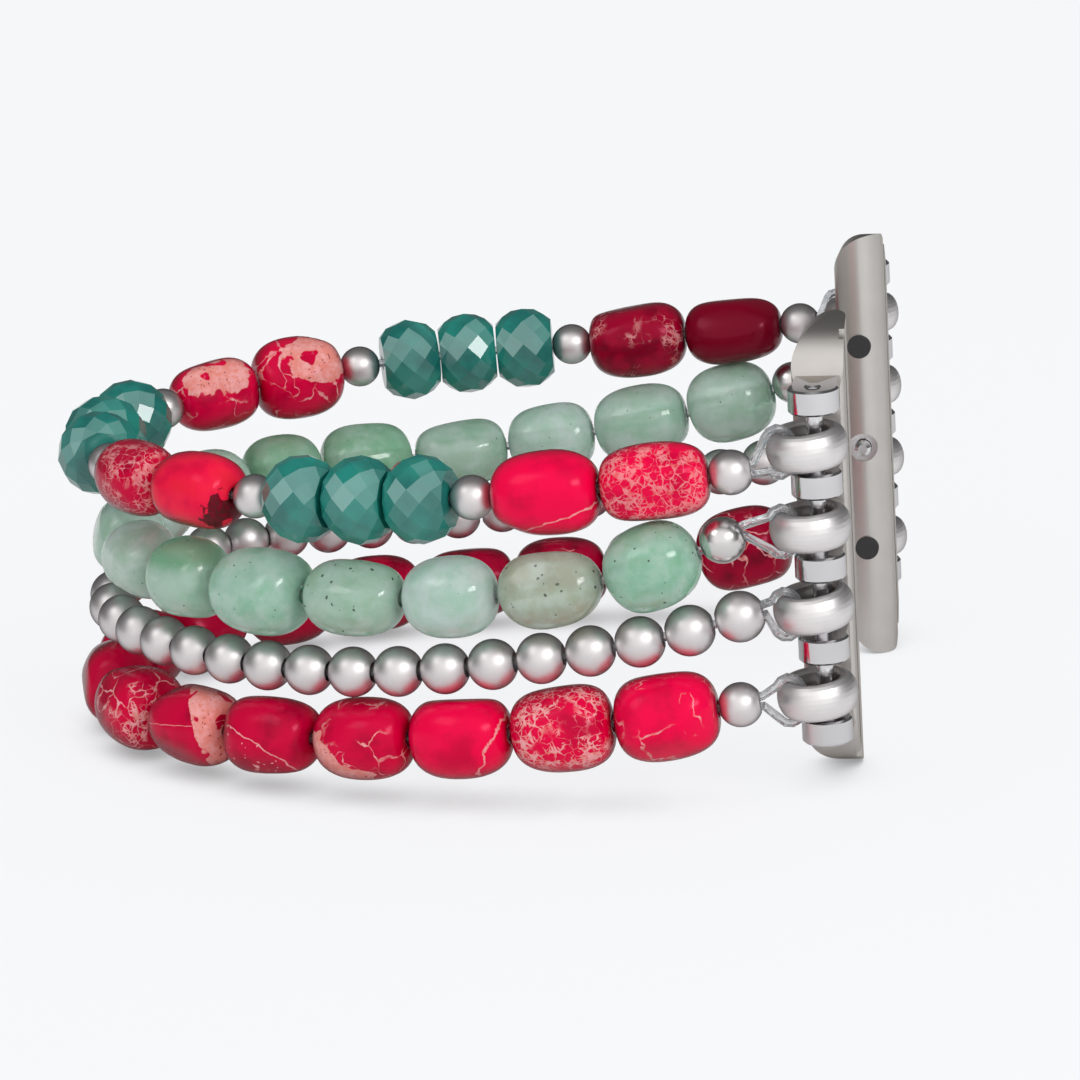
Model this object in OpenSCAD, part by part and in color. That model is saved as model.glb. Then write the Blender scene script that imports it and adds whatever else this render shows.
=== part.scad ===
// Four-strand elastic bead strap that joins two slide-in connectors, in millimetres.
// The strap stands on its edge: Z is up, the connectors are at +X and the loop's turn is at -X.
// Beads sit along one plan curve by arc length, counted from the middle of the turn.
// Positive arcs are the front side (-Y), negative arcs the rear side (+Y).

/* [Strand 1: spacers, rondelles and small nuggets] */
// Diameter of the round silver spacers
spacer_d = 3.2; // [2.8:0.1:3.4]
// Diameter of the faceted teal rondelles
teal_d = 6.4; // [5.8:0.1:6.6]
// Length of a rondelle along the cord
teal_l = 4.4; // [4:0.1:4.6]
// Length of a small red nugget in the turn
red_l = 7; // [6.4:0.1:7.6]
// Length of a small red nugget beside the connectors
red_run_l = 7.6; // [7:0.1:8.2]
// Usual width of a small red nugget
red_d = 6.2; // [5.6:0.1:6.4]

/* [Strands 2 to 4] */
// Usual width of a pale green nugget
green_d = 6.3; // [5.6:0.1:6.5]
// Pale green nuggets between the end bead and the flex column on each side
green_run_count = 4; // [3:1:5]
// Diameter of the silver balls of strand 3
ball_d = 3.65; // [3.4:0.05:3.7]
// Usual width of a large red nugget
big_red_d = 6.75; // [6:0.05:7]
// Large red nuggets between the end bead and the flex column on each side
big_red_run_count = 4; // [3:1:5]
// Diameter of the bright end bead of strand 2
bright_d = 3.3; // [2.8:0.1:3.4]

/* [Cord and drilling] */
// Diameter of the clear elastic cord
cord_d = 0.65; // [0.5:0.05:0.7]
// Diameter of the hole drilled through stones, rondelles, spacers and end beads
drill_d = 1.2; // [1.1:0.05:1.3]
// Diameter of the wider hole through the silver balls
ball_drill_d = 1.5; // [1.2:0.05:1.6]
// Least gap between beads on the straight runs
bead_gap = 0.05; // [0.04:0.01:0.12]
// Gap between a flex column bead and the bead that swings round it
flex_gap = 0.25; // [0.2:0.01:0.3]

/* [Loop] */
// Arc length over which the strap makes most of a quarter turn
turn_len = 30.5; // [29:0.5:33]
// How suddenly the turn runs out into the straight sides
turn_power = 1.4; // [1.3:0.1:2]
// Share by which each side turns in past straight
pinch = 0.32; // [0.2:0.01:0.36]

/* [Connector] */
// Length of the bar that slides into its groove
slide_l = 33.2; // [31:0.2:35]
// Thickness of the slide bar
slide_w = 3.7; // [3.3:0.1:3.9]
// Depth of the slide bar from its outer face to its rounded back
slide_depth = 5; // [4.6:0.1:5.6]
// Spacing of the hinge knuckles
pin_pitch = 6; // [5.8:0.1:6.2]
// Diameter of the hinge pin
pin_d = 1.2; // [1:0.05:1.3]
// Diameter of a hinge knuckle
knuckle_d = 3.6; // [3.4:0.1:4.2]
// Height of a hinge knuckle
knuckle_h = 1.8; // [1.6:0.1:2]
// Distance from the hinge pin to the outer face of the slide bar
pin_to_bar = 3.05; // [3:0.05:4]
// Outer diameter of a cord ring
ring_d = 5.8; // [5.4:0.1:6]
// Diameter of a cord ring's hole
ring_hole_d = 2.7; // [2.6:0.05:2.9]
// Height of a cord ring
ring_h = 2.7; // [2.4:0.1:2.8]
// How far the cord pulls a ring off the pin's centre
ring_pull = 0.6; // [0.4:0.05:0.65]
// Gap between an end bead and its ring
ring_gap = 0.65; // [0.5:0.05:1]
// How far the rings lie inside the line of the beads
ring_inset = 1.8; // [1:0.1:2.4]

/* [Catch] */
// Diameter of the spring catch button's tip
catch_d = 1.2; // [1:0.1:1.4]
// How far the button stands out of the bar
catch_out = 0.55; // [0.4:0.05:0.7]
// Wire diameter of the catch spring
spring_wire = 0.16; // [0.12:0.01:0.2]
// Diameter of a rubber grip pad
pad_d = 1.8; // [1.4:0.1:2.2]

/* [Hidden] */
$fn = 48;
front = 1;
rear = -1;

// Colours of the plain model
steel = [0.76, 0.75, 0.74];
silver = [0.84, 0.83, 0.82];
teal = [0.1, 0.45, 0.39];
red = [0.8, 0.05, 0.2];
deep_red = [0.68, 0.04, 0.16];
green = [0.6, 0.77, 0.68];
clear = [0.88, 0.9, 0.93];
black = [0.1, 0.1, 0.1];

// Plan curve: heading in degrees against arc length, signed so that it grows all the way round
function heading(t) = 90 * (1 + pinch) * (t / turn_len)
    / pow(1 + pow(abs(t) / turn_len, turn_power), 1 / turn_power);

// Half the angle between two beads that lie a pitch apart about arc t
function half_turn(t, pitch, k = 0) = k == 0 ? (heading(t + pitch / 2) - heading(t - pitch / 2)) / 2
    : (yaw(k, t + pitch / 2) - yaw(k, t - pitch / 2)) / 2;

// Tumbled nugget: radius and length as shares of half its width and half its length, against an angle
// that runs from 0 in the middle to the drilled end face. Aventurine is rounder and jasper more square.
jasper = 0.52;
aventurine = 0.66;
end_share = 0.16;
// How square the shoulder between the side and the end is
shoulder = 0.85;
function end_angle(full) = acos(pow(2 * end_share, 1 / full));
function nugget_r(b, full) = pow(cos(b), full);
function nugget_x(b, full) = sign(b) * pow(sin(abs(b)) / sin(end_angle(full)), shoulder);

// Bead ends meet at an angle where the cord turns, so the gap grows with the turn until they just clear
function meeting_gap(t, pitch, d, full, k = 0) = let (e = end_angle(full), turn = tan(half_turn(t, pitch, k)))
    bead_gap + 2 * max([for (b = [e, 0.96 * e, 0.92 * e, 0.86 * e, 0.78 * e])
        d / 2 * nugget_r(b, full) * turn - pitch / 2 * (1 - nugget_x(b, full))]);

// Rondelle rows: each row's radius keeps the rhombs and kites that cross it flat
facets = 10;
teal_half = teal_l / 2;
row_x = [0, 0.42, 0.74, 1] * teal_half;
narrow = cos(180 / facets);
girdle_r = teal_d / 2;
upper_r = girdle_r * narrow;
crown_r = girdle_r - (girdle_r - upper_r * narrow) * row_x[2] / row_x[1];
table_r = upper_r - (upper_r - crown_r * narrow) * (row_x[3] - row_x[1]) / (row_x[2] - row_x[1]);
function rondelle_pitch(t) = teal_l + bead_gap + 2 * table_r * tan(half_turn(t, teal_l));

// Arcs of strand 1, counted outward from the middle rondelle
spacer_l = sqrt(spacer_d * spacer_d - drill_d * drill_d);
arc_teal_inner = rondelle_pitch(teal_half);
arc_spacer_inner = arc_teal_inner + teal_half + bead_gap + spacer_d / 2;
arc_red_inner = arc_spacer_inner + spacer_d / 2 + bead_gap + red_l / 2;
arc_red_inner_2 = arc_red_inner + red_l + meeting_gap(arc_red_inner + red_l / 2, red_l, red_d, jasper);
// The spacer here is the flex column, which lines up with a bead centre on every strand
arc_flex = arc_red_inner_2 + red_l / 2 + bead_gap + spacer_d / 2;
arc_teal_run = arc_flex + spacer_d / 2 + flex_gap + teal_half;
teal_pitch = rondelle_pitch(arc_teal_run + teal_half);
arc_spacer_run = arc_teal_run + 2 * teal_pitch + teal_half + bead_gap + spacer_l / 2;
arc_red_run = arc_spacer_run + spacer_l / 2 + bead_gap + red_run_l / 2;
red_pitch = red_run_l + meeting_gap(arc_red_run + red_run_l / 2, red_run_l, red_d, jasper);
arc_end = arc_red_run + red_pitch + red_run_l / 2 + bead_gap + spacer_l / 2;
arc_ring = arc_end + spacer_d / 2 + ring_gap + ring_d / 2;

// How far each strand's end bead stops short of strand 1's
end_short = [0, 0.8, -0.15, 0.1];
green_end = arc_end - end_short[1];
ball_end = arc_end - end_short[2];
big_red_end = arc_end - end_short[3];

// Strand 2 and 4 nuggets: each is as long as the angle to its neighbours allows
turn_intervals = 7;
nugget_pitch = 2 * arc_flex / turn_intervals;
function turn_arc(i) = -arc_flex + i * nugget_pitch;
function inner_gap(t, pitch) = meeting_gap(abs(t) - pitch / 2, pitch, big_red_d, jasper);
function turn_l(i) = nugget_pitch - inner_gap(turn_arc(i), nugget_pitch);
column_l = turn_l(0);
// Strand 2 turns inside the others, so its nuggets lie closer and are shorter
green_k = 1;
function green_turn_space(i, j) = norm(spot(green_k, turn_arc(j)) - spot(green_k, turn_arc(i)))
    - meeting_gap(abs(turn_arc(i) + turn_arc(j)) / 2, nugget_pitch, big_red_d, aventurine, green_k);
function green_turn_l(i) = i == 0 || i == turn_intervals ? column_l
    : i == 1 ? 2 * green_turn_space(0, 1) - column_l
    : i == turn_intervals - 1 ? 2 * green_turn_space(turn_intervals, i) - column_l
    : min(green_turn_space(i, i - 1), green_turn_space(i, i + 1));
run_start = arc_flex + column_l / 2 + flex_gap;
big_red_run_pitch = (big_red_end - spacer_l / 2 - run_start) / big_red_run_count;
function run_arc(i) = run_start + (i + 0.5) * big_red_run_pitch;
function run_l(i) = big_red_run_pitch - inner_gap(run_arc(i), big_red_run_pitch);
// Pale green nuggets differ more in length: each takes its own share of the run
green_vary = 0.16;
bright_l = sqrt(bright_d * bright_d - drill_d * drill_d);
green_run = green_end - bright_l / 2 - run_start;
function green_weight(i) = 1 + green_vary * (spread(i + 0.61) - 0.5);
function sum_to(i) = i == 0 ? 0 : sum_to(i - 1) + green_weight(i - 1);
function green_space(i) = green_run * green_weight(i) / sum_to(green_run_count);
function green_arc(i) = run_start + green_run * (sum_to(i) + green_weight(i) / 2) / sum_to(green_run_count);
function green_l(i) = green_space(i) - inner_gap(green_arc(i), green_space(i));

// Widths of single nuggets against the usual width, outward from the middle of the turn
red_turn_share_front = [0.93, 0.98];
red_turn_share_rear = [0.97, 1.07];
red_run_share = [1.07, 0.95];
green_turn_share = [1, 0.97, 1, 1.11];
green_run_share = [0.94, 0.99, 0.98, 1.03, 1];
big_red_turn_share = [1, 0.98, 0.96, 0.96];
big_red_run_share = [0.93, 0.98, 1, 1.03, 1];
function turn_share(shares, i) = shares[floor(abs(i - turn_intervals / 2))];

// Strand 3 balls: their drilled ends meet, so they lie closer than their diameter
ball_l = sqrt(ball_d * ball_d - ball_drill_d * ball_drill_d);
ball_turn_intervals = floor(2 * arc_flex / (ball_l + ball_drill_d * tan(half_turn(0, ball_l))));
ball_turn_pitch = 2 * arc_flex / ball_turn_intervals;
ball_run_count = floor((ball_end - arc_flex) / (ball_l + bead_gap));
ball_run_pitch = (ball_end - arc_flex) / ball_run_count;

// Heights of the strands in the middle of the turn, stacked up from the floor with these gaps
strand_gap = [0.45, 0.2, 1.1];
mid_4 = big_red_d / 2;
mid_3 = mid_4 + big_red_d / 2 + strand_gap[2] + ball_d / 2;
mid_2 = mid_3 + ball_d / 2 + strand_gap[1] + green_d / 2;
mid_1 = mid_2 + green_d / 2 + strand_gap[0] + teal_d / 2;
mid_level = [mid_1, mid_2, mid_3, mid_4];
// Heights at the end beads, from the rings that they hang on
bar_mid = slide_l / 2;
function ring_level(i) = bar_mid + (1.5 - i) * pin_pitch;
end_drop = [1.5, 0, 0, 0.4];
end_level = [for (i = [0:3]) ring_level(i) - end_drop[i]];
// Exponent of each strand's rise from the middle to its front and rear ends, and how far it sags halfway
rise_front = [2.7, 6, 4.4, 2.2];
rise_rear = [2.5, 5, 4.4, 6];
sag_front = [0, 0, 0.6, 0];
sag_rear = [-0.3, 0.7, 0.8, 0];

// The curve's points, summed in short steps
trace_step = 0.5;
trace_count = ceil((arc_ring + 4) / trace_step);
trace = [for (i = 0, x = 0, y = 0; i <= trace_count;
    x = x + trace_step * sin(heading((i + 0.5) * trace_step)),
    y = y + trace_step * cos(heading((i + 0.5) * trace_step)),
    i = i + 1) [x, y]];
function traced(u) = let (i = floor(u), f = u - i) trace[i] * (1 - f) + trace[i + 1] * f;
function side_of(t) = t < 0 ? rear : front;
function plan(t) = let (p = traced(abs(t) / trace_step)) [p[0] - centre_x, -side_of(t) * p[1]];
// How far inside the others each strand turns, at most
tucked = [0, 1.8, 0, 0];
function tuck(k, t) = tucked[k] == 0 || abs(t) >= arc_flex ? 0
    : tucked[k] * pow(cos(90 * t / arc_flex), 1.5);
function yaw(k, t) = let (a = heading(t) - 90, step = 0.5,
                          drift = (tuck(k, t + step) - tuck(k, t - step)) / (2 * step))
    atan2(sin(a), cos(a) + drift);
function level(k, t) = let (u = abs(t) / arc_end, rise = t < 0 ? rise_rear : rise_front,
                            sag = t < 0 ? sag_rear : sag_front)
    mid_level[k] + (end_level[k] - mid_level[k]) * pow(u, rise[k]) - sag[k] * pow(sin(180 * u), 4);
function slope(k, t) = atan(level(k, t + 0.5) - level(k, t - 0.5));
function spot(k, t) = concat(plan(t) + [tuck(k, t), 0], [level(k, t)]);
function along(k, t) = let (a = yaw(k, t), b = slope(k, t)) [cos(a) * cos(b), sin(a) * cos(b), sin(b)];

// The cord leaves the end beads along pull_yaw, towards the rings, and the hinge pin stands
// past the ring centres on the same line; the model is centred on X between its extremes
ring_step = traced(arc_ring / trace_step) - [0, ring_inset] - traced(arc_end / trace_step);
pull_yaw = atan2(-ring_step[1], ring_step[0]);
centre_x = (traced(arc_ring / trace_step)[0] + ring_d / 2 - teal_d / 2) / 2;
ring_xy = plan(arc_ring) + [0, ring_inset];
pin_xy = ring_xy + ring_pull * [cos(pull_yaw), sin(pull_yaw)];
ring_tilt_front = [5, 3, 7, 5];
ring_tilt_rear = [4, 3, 5, 3];
function ring_tilt(side, i) = side == front ? ring_tilt_front[i] : ring_tilt_rear[i];
// How far each ring has slid down its pin
ring_slid = [0.3, 0.1, 0, 0.4];

// Repeatable spread between 0 and 1 for each bead's own shape
function spread(seed) = let (v = abs(sin(seed * 127.1) * 43.7)) v - floor(v);

// Triangles that join rings of n points each into a closed ring of rings
function ring_faces(rings, n) = [for (i = [0:rings - 1], j = [0:n - 1])
    let (a = i * n + j, b = i * n + (j + 1) % n, c = ((i + 1) % rings) * n + j,
         d = ((i + 1) % rings) * n + (j + 1) % n)
    each [[a, c, b], [b, c, d]]];

// Tumbled nugget, drilled along X: a fat barrel whose section wanders a little
nugget_sides = 11;
nugget_rings = 7;
// How much a nugget's width, height and taper vary from one to the next, as shares
width_vary = 0.04;
height_vary = 0.02;
taper_vary = 0.09;
function lump(a, s, seed) = 1 - 0.014 * (1 + sin(2 * a + 360 * spread(seed)))
    - 0.012 * (1 + sin(3 * a + 70 * s + 360 * spread(seed + 5)));
function nugget_ring(x, r, w, h, s, seed) = [for (j = [0:nugget_sides - 1])
    let (a = 360 * j / nugget_sides, q = r * lump(a, s, seed)) [x, q * w / 2 * cos(a), q * h / 2 * sin(a)]];
function drill_ring(x, n, turn) = [for (j = [0:n - 1])
    let (a = 360 * (j + turn) / n) [x, drill_d / 2 * cos(a), drill_d / 2 * sin(a)]];

module nugget(l, d, full, seed) {
    w = d * (1 - width_vary * spread(seed + 1));
    h = d * (1 - height_vary * spread(seed + 2));
    taper = taper_vary * (spread(seed + 3) - 0.5);
    points = [
        each drill_ring(-l / 2, nugget_sides, 0),
        for (i = [0:nugget_rings - 1])
            let (b = end_angle(full) * (2 * i / (nugget_rings - 1) - 1),
                 s = nugget_x(b, full),
                 r = nugget_r(b, full) * (1 - abs(taper) + taper * s))
            each nugget_ring(l / 2 * s, r, w, h, s, seed),
        each drill_ring(l / 2, nugget_sides, 0)
    ];
    polyhedron(points, ring_faces(nugget_rings + 2, nugget_sides), convexity = 4);
}

// Faceted rondelle, drilled along X: rows of flat rhombs and kites between two flat ends
function rondelle_row(x, r, turn) = [for (j = [0:facets - 1])
    let (a = 360 * (j + turn) / facets) [x, r * cos(a), r * sin(a)]];
function half_turn_faces(i, turn) = [for (j = [0:facets - 1])
    let (a = i * facets + j, b = i * facets + (j + 1) % facets, c = (i + 1) * facets + j,
         d = (i + 1) * facets + (j + 1) % facets)
    each (turn == 0 ? [[a, c, b], [b, c, d]] : [[a, d, b], [a, c, d]])];

module rondelle() {
    points = [
        each drill_ring(-teal_half, facets, 0.5),
        each rondelle_row(-row_x[3], table_r, 0.5),
        each rondelle_row(-row_x[2], crown_r, 0),
        each rondelle_row(-row_x[1], upper_r, 0.5),
        each rondelle_row(0, girdle_r, 0),
        each rondelle_row(row_x[1], upper_r, 0.5),
        each rondelle_row(row_x[2], crown_r, 0),
        each rondelle_row(row_x[3], table_r, 0.5),
        each drill_ring(teal_half, facets, 0.5)
    ];
    last = 8 * facets;
    faces = [
        each [for (j = [0:facets - 1]) let (k = (j + 1) % facets) each
            [[j, facets + j, k], [k, facets + j, facets + k]]],
        for (i = [1:6]) each half_turn_faces(i, i % 2),
        each [for (j = [0:facets - 1]) let (k = (j + 1) % facets) each
            [[last - facets + j, last + j, last - facets + k], [last - facets + k, last + j, last + k],
             [last + j, j, last + k], [last + k, j, k]]]
    ];
    polyhedron(points, faces, convexity = 4);
}

// Round bead, drilled along X
module round_bead(d, hole) {
    rotate([0, 90, 0]) rotate_extrude() intersection() {
        circle(d = d);
        translate([hole / 2, -d / 2]) square(d);
    }
}

// End bead: the hole opens out towards the ring, where the doubled cord leaves side by side
mouth_room = 0.16;
mouth_x = 0.5;
module end_bead(d, hole) {
    mouth_r = cord_d + mouth_room;
    rotate([0, 90, 0]) rotate_extrude() intersection() {
        circle(d = d);
        polygon([[hole / 2, -d], [d, -d], [d, d], [mouth_r, d], [mouth_r, mouth_x], [hole / 2, 0]]);
    }
}

// Puts a bead on strand k at arc t, its hole along the cord
module on_strand(k, t) {
    translate(spot(k, t)) rotate([0, -slope(k, t), yaw(k, t)]) children();
}

// Turns an end bead's mouth away from the turn, towards its ring
module mouth_out(side) {
    rotate([0, 0, side == front ? 0 : 180]) children();
}

// Strand 1 groups
module middle_teal_beads() {
    color(teal) for (t = [-arc_teal_inner, 0, arc_teal_inner])
        on_strand(0, t) rotate([spread(t + 3) * 36, 0, 0]) rondelle();
}

module middle_red_nuggets() {
    color(red) for (side = [front, rear], i = [0, 1])
        on_strand(0, side * (i == 0 ? arc_red_inner : arc_red_inner_2))
            nugget(red_l, red_d * (side == front ? red_turn_share_front : red_turn_share_rear)[i], jasper,
                11 + i + 3 * side);
}

module middle_spacer_beads() {
    color(silver) for (side = [front, rear], t = [arc_spacer_inner, arc_flex])
        on_strand(0, side * t) round_bead(spacer_d, drill_d);
}

module run_teal_beads(side) {
    color(teal) for (i = [0:2])
        on_strand(0, side * (arc_teal_run + i * teal_pitch))
            rotate([spread(i + 7 * side) * 36, 0, 0]) rondelle();
}

module run_red_nuggets(side) {
    color(red) for (i = [0, 1])
        on_strand(0, side * (arc_red_run + i * red_pitch))
            nugget(red_run_l, red_d * red_run_share[i], jasper, 31 + i + 4 * side);
}

module run_spacer_beads(side) {
    color(silver) {
        on_strand(0, side * arc_spacer_run) round_bead(spacer_d, drill_d);
        on_strand(0, side * arc_end) mouth_out(side) end_bead(spacer_d, drill_d);
    }
}

// Strands 2 and 4 groups
module middle_green_nuggets() {
    color(green) for (i = [0:turn_intervals])
        on_strand(1, turn_arc(i))
            nugget(green_turn_l(i), green_d * turn_share(green_turn_share, i), aventurine, 50 + i);
}

module run_green_nuggets(side) {
    color(green) for (i = [0:green_run_count - 1])
        on_strand(1, side * green_arc(i))
            nugget(green_l(i), green_d * green_run_share[i], aventurine, 70 + i + 6 * side);
}

module run_green_end_bead(side) {
    color(silver) on_strand(1, side * green_end) mouth_out(side) end_bead(bright_d, drill_d);
}

module middle_big_red_nuggets() {
    color(deep_red) for (i = [0:turn_intervals])
        on_strand(3, turn_arc(i))
            nugget(turn_l(i), big_red_d * turn_share(big_red_turn_share, i), jasper, 90 + i);
}

module run_big_red_nuggets(side) {
    color(deep_red) for (i = [0:big_red_run_count - 1])
        on_strand(3, side * run_arc(i))
            nugget(run_l(i), big_red_d * big_red_run_share[i], jasper, 110 + i + 6 * side);
}

module run_big_red_end_bead(side) {
    color(silver) on_strand(3, side * big_red_end) mouth_out(side) end_bead(spacer_d, drill_d);
}

// Strand 3 groups
module middle_silver_balls() {
    color(silver) for (i = [0:ball_turn_intervals])
        on_strand(2, -arc_flex + i * ball_turn_pitch) round_bead(ball_d, ball_drill_d);
}

module run_silver_balls(side) {
    color(silver) for (i = [1:ball_run_count])
        on_strand(2, side * (arc_flex + i * ball_run_pitch))
            if (i == ball_run_count) mouth_out(side) end_bead(ball_d, ball_drill_d);
            else round_bead(ball_d, ball_drill_d);
}

// Cord: a tube of 8 sides swept along points, its rings square to the path
cord_sides = 8;
function unit(v) = v / norm(v);
function path_dir(p, i) = i == 0 ? unit(p[1] - p[0])
    : i == len(p) - 1 ? unit(p[i] - p[i - 1])
    : unit(unit(p[i] - p[i - 1]) + unit(p[i + 1] - p[i]));
function tube_ring(c, dir, across, turn) = let (u = unit(across - dir * (across * dir)),
                                                v = cross(dir, u))
    [for (j = [0:cord_sides - 1]) let (a = 360 * (j + turn) / cord_sides)
        c + cord_d / 2 * (u * cos(a) + v * sin(a))];

// across is any direction that the path never runs along, such as the level normal of its plane,
// and turn rolls the tube about its path by a share of one side
module tube(p, across, turn) {
    n = len(p);
    points = [for (i = [0:n - 1]) each tube_ring(p[i], path_dir(p, i), across, turn)];
    faces = [
        for (i = [0:n - 2], j = [0:cord_sides - 1])
            let (a = i * cord_sides + j, b = i * cord_sides + (j + 1) % cord_sides)
            each [[b, a, a + cord_sides], [b, a + cord_sides, b + cord_sides]],
        for (j = [1:cord_sides - 2]) each
            let (far = (n - 1) * cord_sides)
            [[0, j, j + 1], [far, far + j + 1, far + j]]
    ];
    polyhedron(points, faces, convexity = 8);
}

// Each bead holds the cord straight, so the path has one point between each bead and the next
function bead_tip(k, b, way) = spot(k, b[0]) + way * along(k, b[0]) * b[1] / 2;
function between_beads(k, beads) = [for (i = [0:len(beads) - 2])
    (bead_tip(k, beads[i], 1) + bead_tip(k, beads[i + 1], -1)) / 2];
function on_side(beads, side) = [for (b = beads) [side * b[0], side * b[1]]];

// Arc and length of each bead between the flex columns, in order
middle_beads_1 = [
    [-arc_flex, spacer_d], [-arc_red_inner_2, red_l], [-arc_red_inner, red_l], [-arc_spacer_inner, spacer_d],
    [-arc_teal_inner, teal_l], [0, teal_l], [arc_teal_inner, teal_l],
    [arc_spacer_inner, spacer_d], [arc_red_inner, red_l], [arc_red_inner_2, red_l], [arc_flex, spacer_d]
];
middle_beads_nugget = [for (i = [0:turn_intervals]) [turn_arc(i), turn_l(i)]];
middle_beads_ball = [for (i = [0:ball_turn_intervals]) [-arc_flex + i * ball_turn_pitch, ball_l]];
middle_beads_green = [for (i = [0:turn_intervals]) [turn_arc(i), green_turn_l(i)]];
middle_beads = [middle_beads_1, middle_beads_green, middle_beads_ball, middle_beads_nugget];

run_beads_1 = concat(
    [for (i = [0:2]) [arc_teal_run + i * teal_pitch, teal_l]],
    [[arc_spacer_run, spacer_l], [arc_red_run, red_run_l], [arc_red_run + red_pitch, red_run_l],
     [arc_end, spacer_l]]);
run_beads_2 = [
    for (i = [0:green_run_count - 1]) [green_arc(i), green_l(i)],
    [green_end, bright_l]
];
run_beads_3 = [for (i = [1:ball_run_count]) [arc_flex + i * ball_run_pitch, ball_l]];
run_beads_4 = [
    for (i = [0:big_red_run_count - 1]) [run_arc(i), run_l(i)],
    [big_red_end, spacer_l]
];
run_beads = [run_beads_1, run_beads_2, run_beads_3, run_beads_4];
end_arc = [arc_end, green_end, ball_end, big_red_end];

// The cord bends in the flex gap, so it is in two pieces that part at the swinging bead's mouth
column_half = [spacer_d / 2, column_l / 2, ball_l / 2, column_l / 2];
end_d = [spacer_d, bright_d, ball_d, spacer_d];
cut = 0.04;

module middle_cord(k) {
    reach = column_half[k] + flex_gap - cut;
    first = spot(k, -arc_flex) - along(k, -arc_flex) * reach;
    last = spot(k, arc_flex) + along(k, arc_flex) * reach;
    color(clear) tube([first, each between_beads(k, middle_beads[k]), last], [0, 0, 1], 0);
}

// Loop of cord round the strand side of a ring, seen in the ring's own plane:
// u runs along the strand and w along the ring's axis. The ring's wall is an oval.
ring_wall = (ring_d - ring_hole_d) / 2;
wall_u = -(ring_d - ring_wall) / 2;
loop_clear = 0.05;
function oval(a, off) = let (n = unit([cos(a) / ring_wall, sin(a) / ring_h]))
    [ring_wall / 2 * cos(a), ring_h / 2 * sin(a)] + off * n;
loop_angles = [132, 110, 88, 66, 44, 22];
loop_half = [for (a = loop_angles) [wall_u, 0] + oval(a, cord_d / 2 + loop_clear)];
loop_uw = concat(loop_half, [for (i = [len(loop_half) - 1:-1:0]) [loop_half[i][0], -loop_half[i][1]]]);

// Both ends of the loop start side by side in the end bead's mouth, on the single cord's tip
loop_start = mouth_x + 0.12;
loop_sunk = 0.4;
legs_gap = 0.08;
// The single cord is rolled by a share of a side, so that its corners stay clear of the legs'
cord_roll = 0.35;

module run_cord(side, k) {
    reach = column_half[k] + flex_gap + cut;
    first = spot(k, side * arc_flex) + side * along(k, side * arc_flex) * reach;
    end_t = side * end_arc[k];
    bead_mid = spot(k, end_t);
    out = side * along(k, end_t);
    ring_c = ring_centre(side, k);
    u_dir = ring_u(side, k);
    w_dir = ring_w(side, k);
    mouth = bead_mid + out * loop_start;
    exit = bead_mid + out * end_d[k] / 2;
    beside = w_dir * (cord_d + legs_gap) / 2;
    level_across = cross([0, 0, 1], out);
    color(clear) union() {
        tube([first, each between_beads(k, on_side(run_beads[k], side)), mouth + out * loop_sunk],
             [0, 0, 1], cord_roll);
        tube([mouth + beside, exit + beside, each [for (q = loop_uw) ring_c + u_dir * q[0] + w_dir * q[1]],
              exit - beside, mouth - beside], level_across, 0);
    }
}

// Ring placement: the tilt lifts the ring's edge away from the strand
function ring_centre(side, i) = [ring_xy[0], side * ring_xy[1], ring_level(i) - ring_slid[i]];
function ring_yaw(side) = side * pull_yaw;
function ring_u(side, i) = let (a = ring_yaw(side), b = ring_tilt(side, i))
    [cos(a) * cos(b), sin(a) * cos(b), sin(b)];
function ring_w(side, i) = let (a = ring_yaw(side), b = ring_tilt(side, i))
    [-cos(a) * sin(b), -sin(a) * sin(b), cos(b)];

module cord_ring(side, i) {
    color(silver) translate(ring_centre(side, i)) rotate([0, -ring_tilt(side, i), ring_yaw(side)])
        rotate_extrude() ring_section();
}

module ring_section() {
    steps = 24;
    polygon([for (i = [0:steps - 1]) [-wall_u, 0] + oval(360 * (i + 0.5) / steps, 0)]);
}

// Connector, drawn for the front about its pin: the bar lies towards +Y
module at_pin(side) {
    translate([pin_xy[0], side * pin_xy[1], bar_mid]) mirror([0, side == rear ? 1 : 0, 0]) children();
}

back_y = pin_to_bar + slide_depth;
lip_depth = 1.3;
groove_w = 0.7;
groove_depth = 0.4;
bar_edge_r = 0.3;
bar_end_r = 4.6;
bar_toe_r = 3.2;

// Section of the bar: outer lip, retaining groove and rounded back
module bar_section() {
    bulb_y = back_y - slide_w / 2;
    translate([-slide_w / 2 + bar_edge_r, pin_to_bar]) square([slide_w - 2 * bar_edge_r, lip_depth]);
    translate([-slide_w / 2, pin_to_bar + bar_edge_r]) square([slide_w, lip_depth - bar_edge_r]);
    for (s = [-1, 1]) translate([s * (slide_w / 2 - bar_edge_r), pin_to_bar + bar_edge_r])
        circle(r = bar_edge_r);
    translate([-slide_w / 2 + groove_depth, pin_to_bar])
        square([slide_w - 2 * groove_depth, slide_depth / 2]);
    translate([-slide_w / 2, pin_to_bar + lip_depth + groove_w])
        square([slide_w, bulb_y - pin_to_bar - lip_depth - groove_w]);
    translate([0, bulb_y]) circle(d = slide_w);
}

// Side outline of the bar: its outer face curves back at both ends
module bar_side_outline() {
    flat = slide_l / 2 - bar_end_r;
    translate([pin_to_bar, -flat]) square([slide_depth + 1, 2 * flat]);
    translate([pin_to_bar + bar_end_r, -slide_l / 2]) square([slide_depth, slide_l]);
    for (s = [-1, 1]) translate([pin_to_bar + bar_end_r, s * flat]) circle(r = bar_end_r);
}

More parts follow.
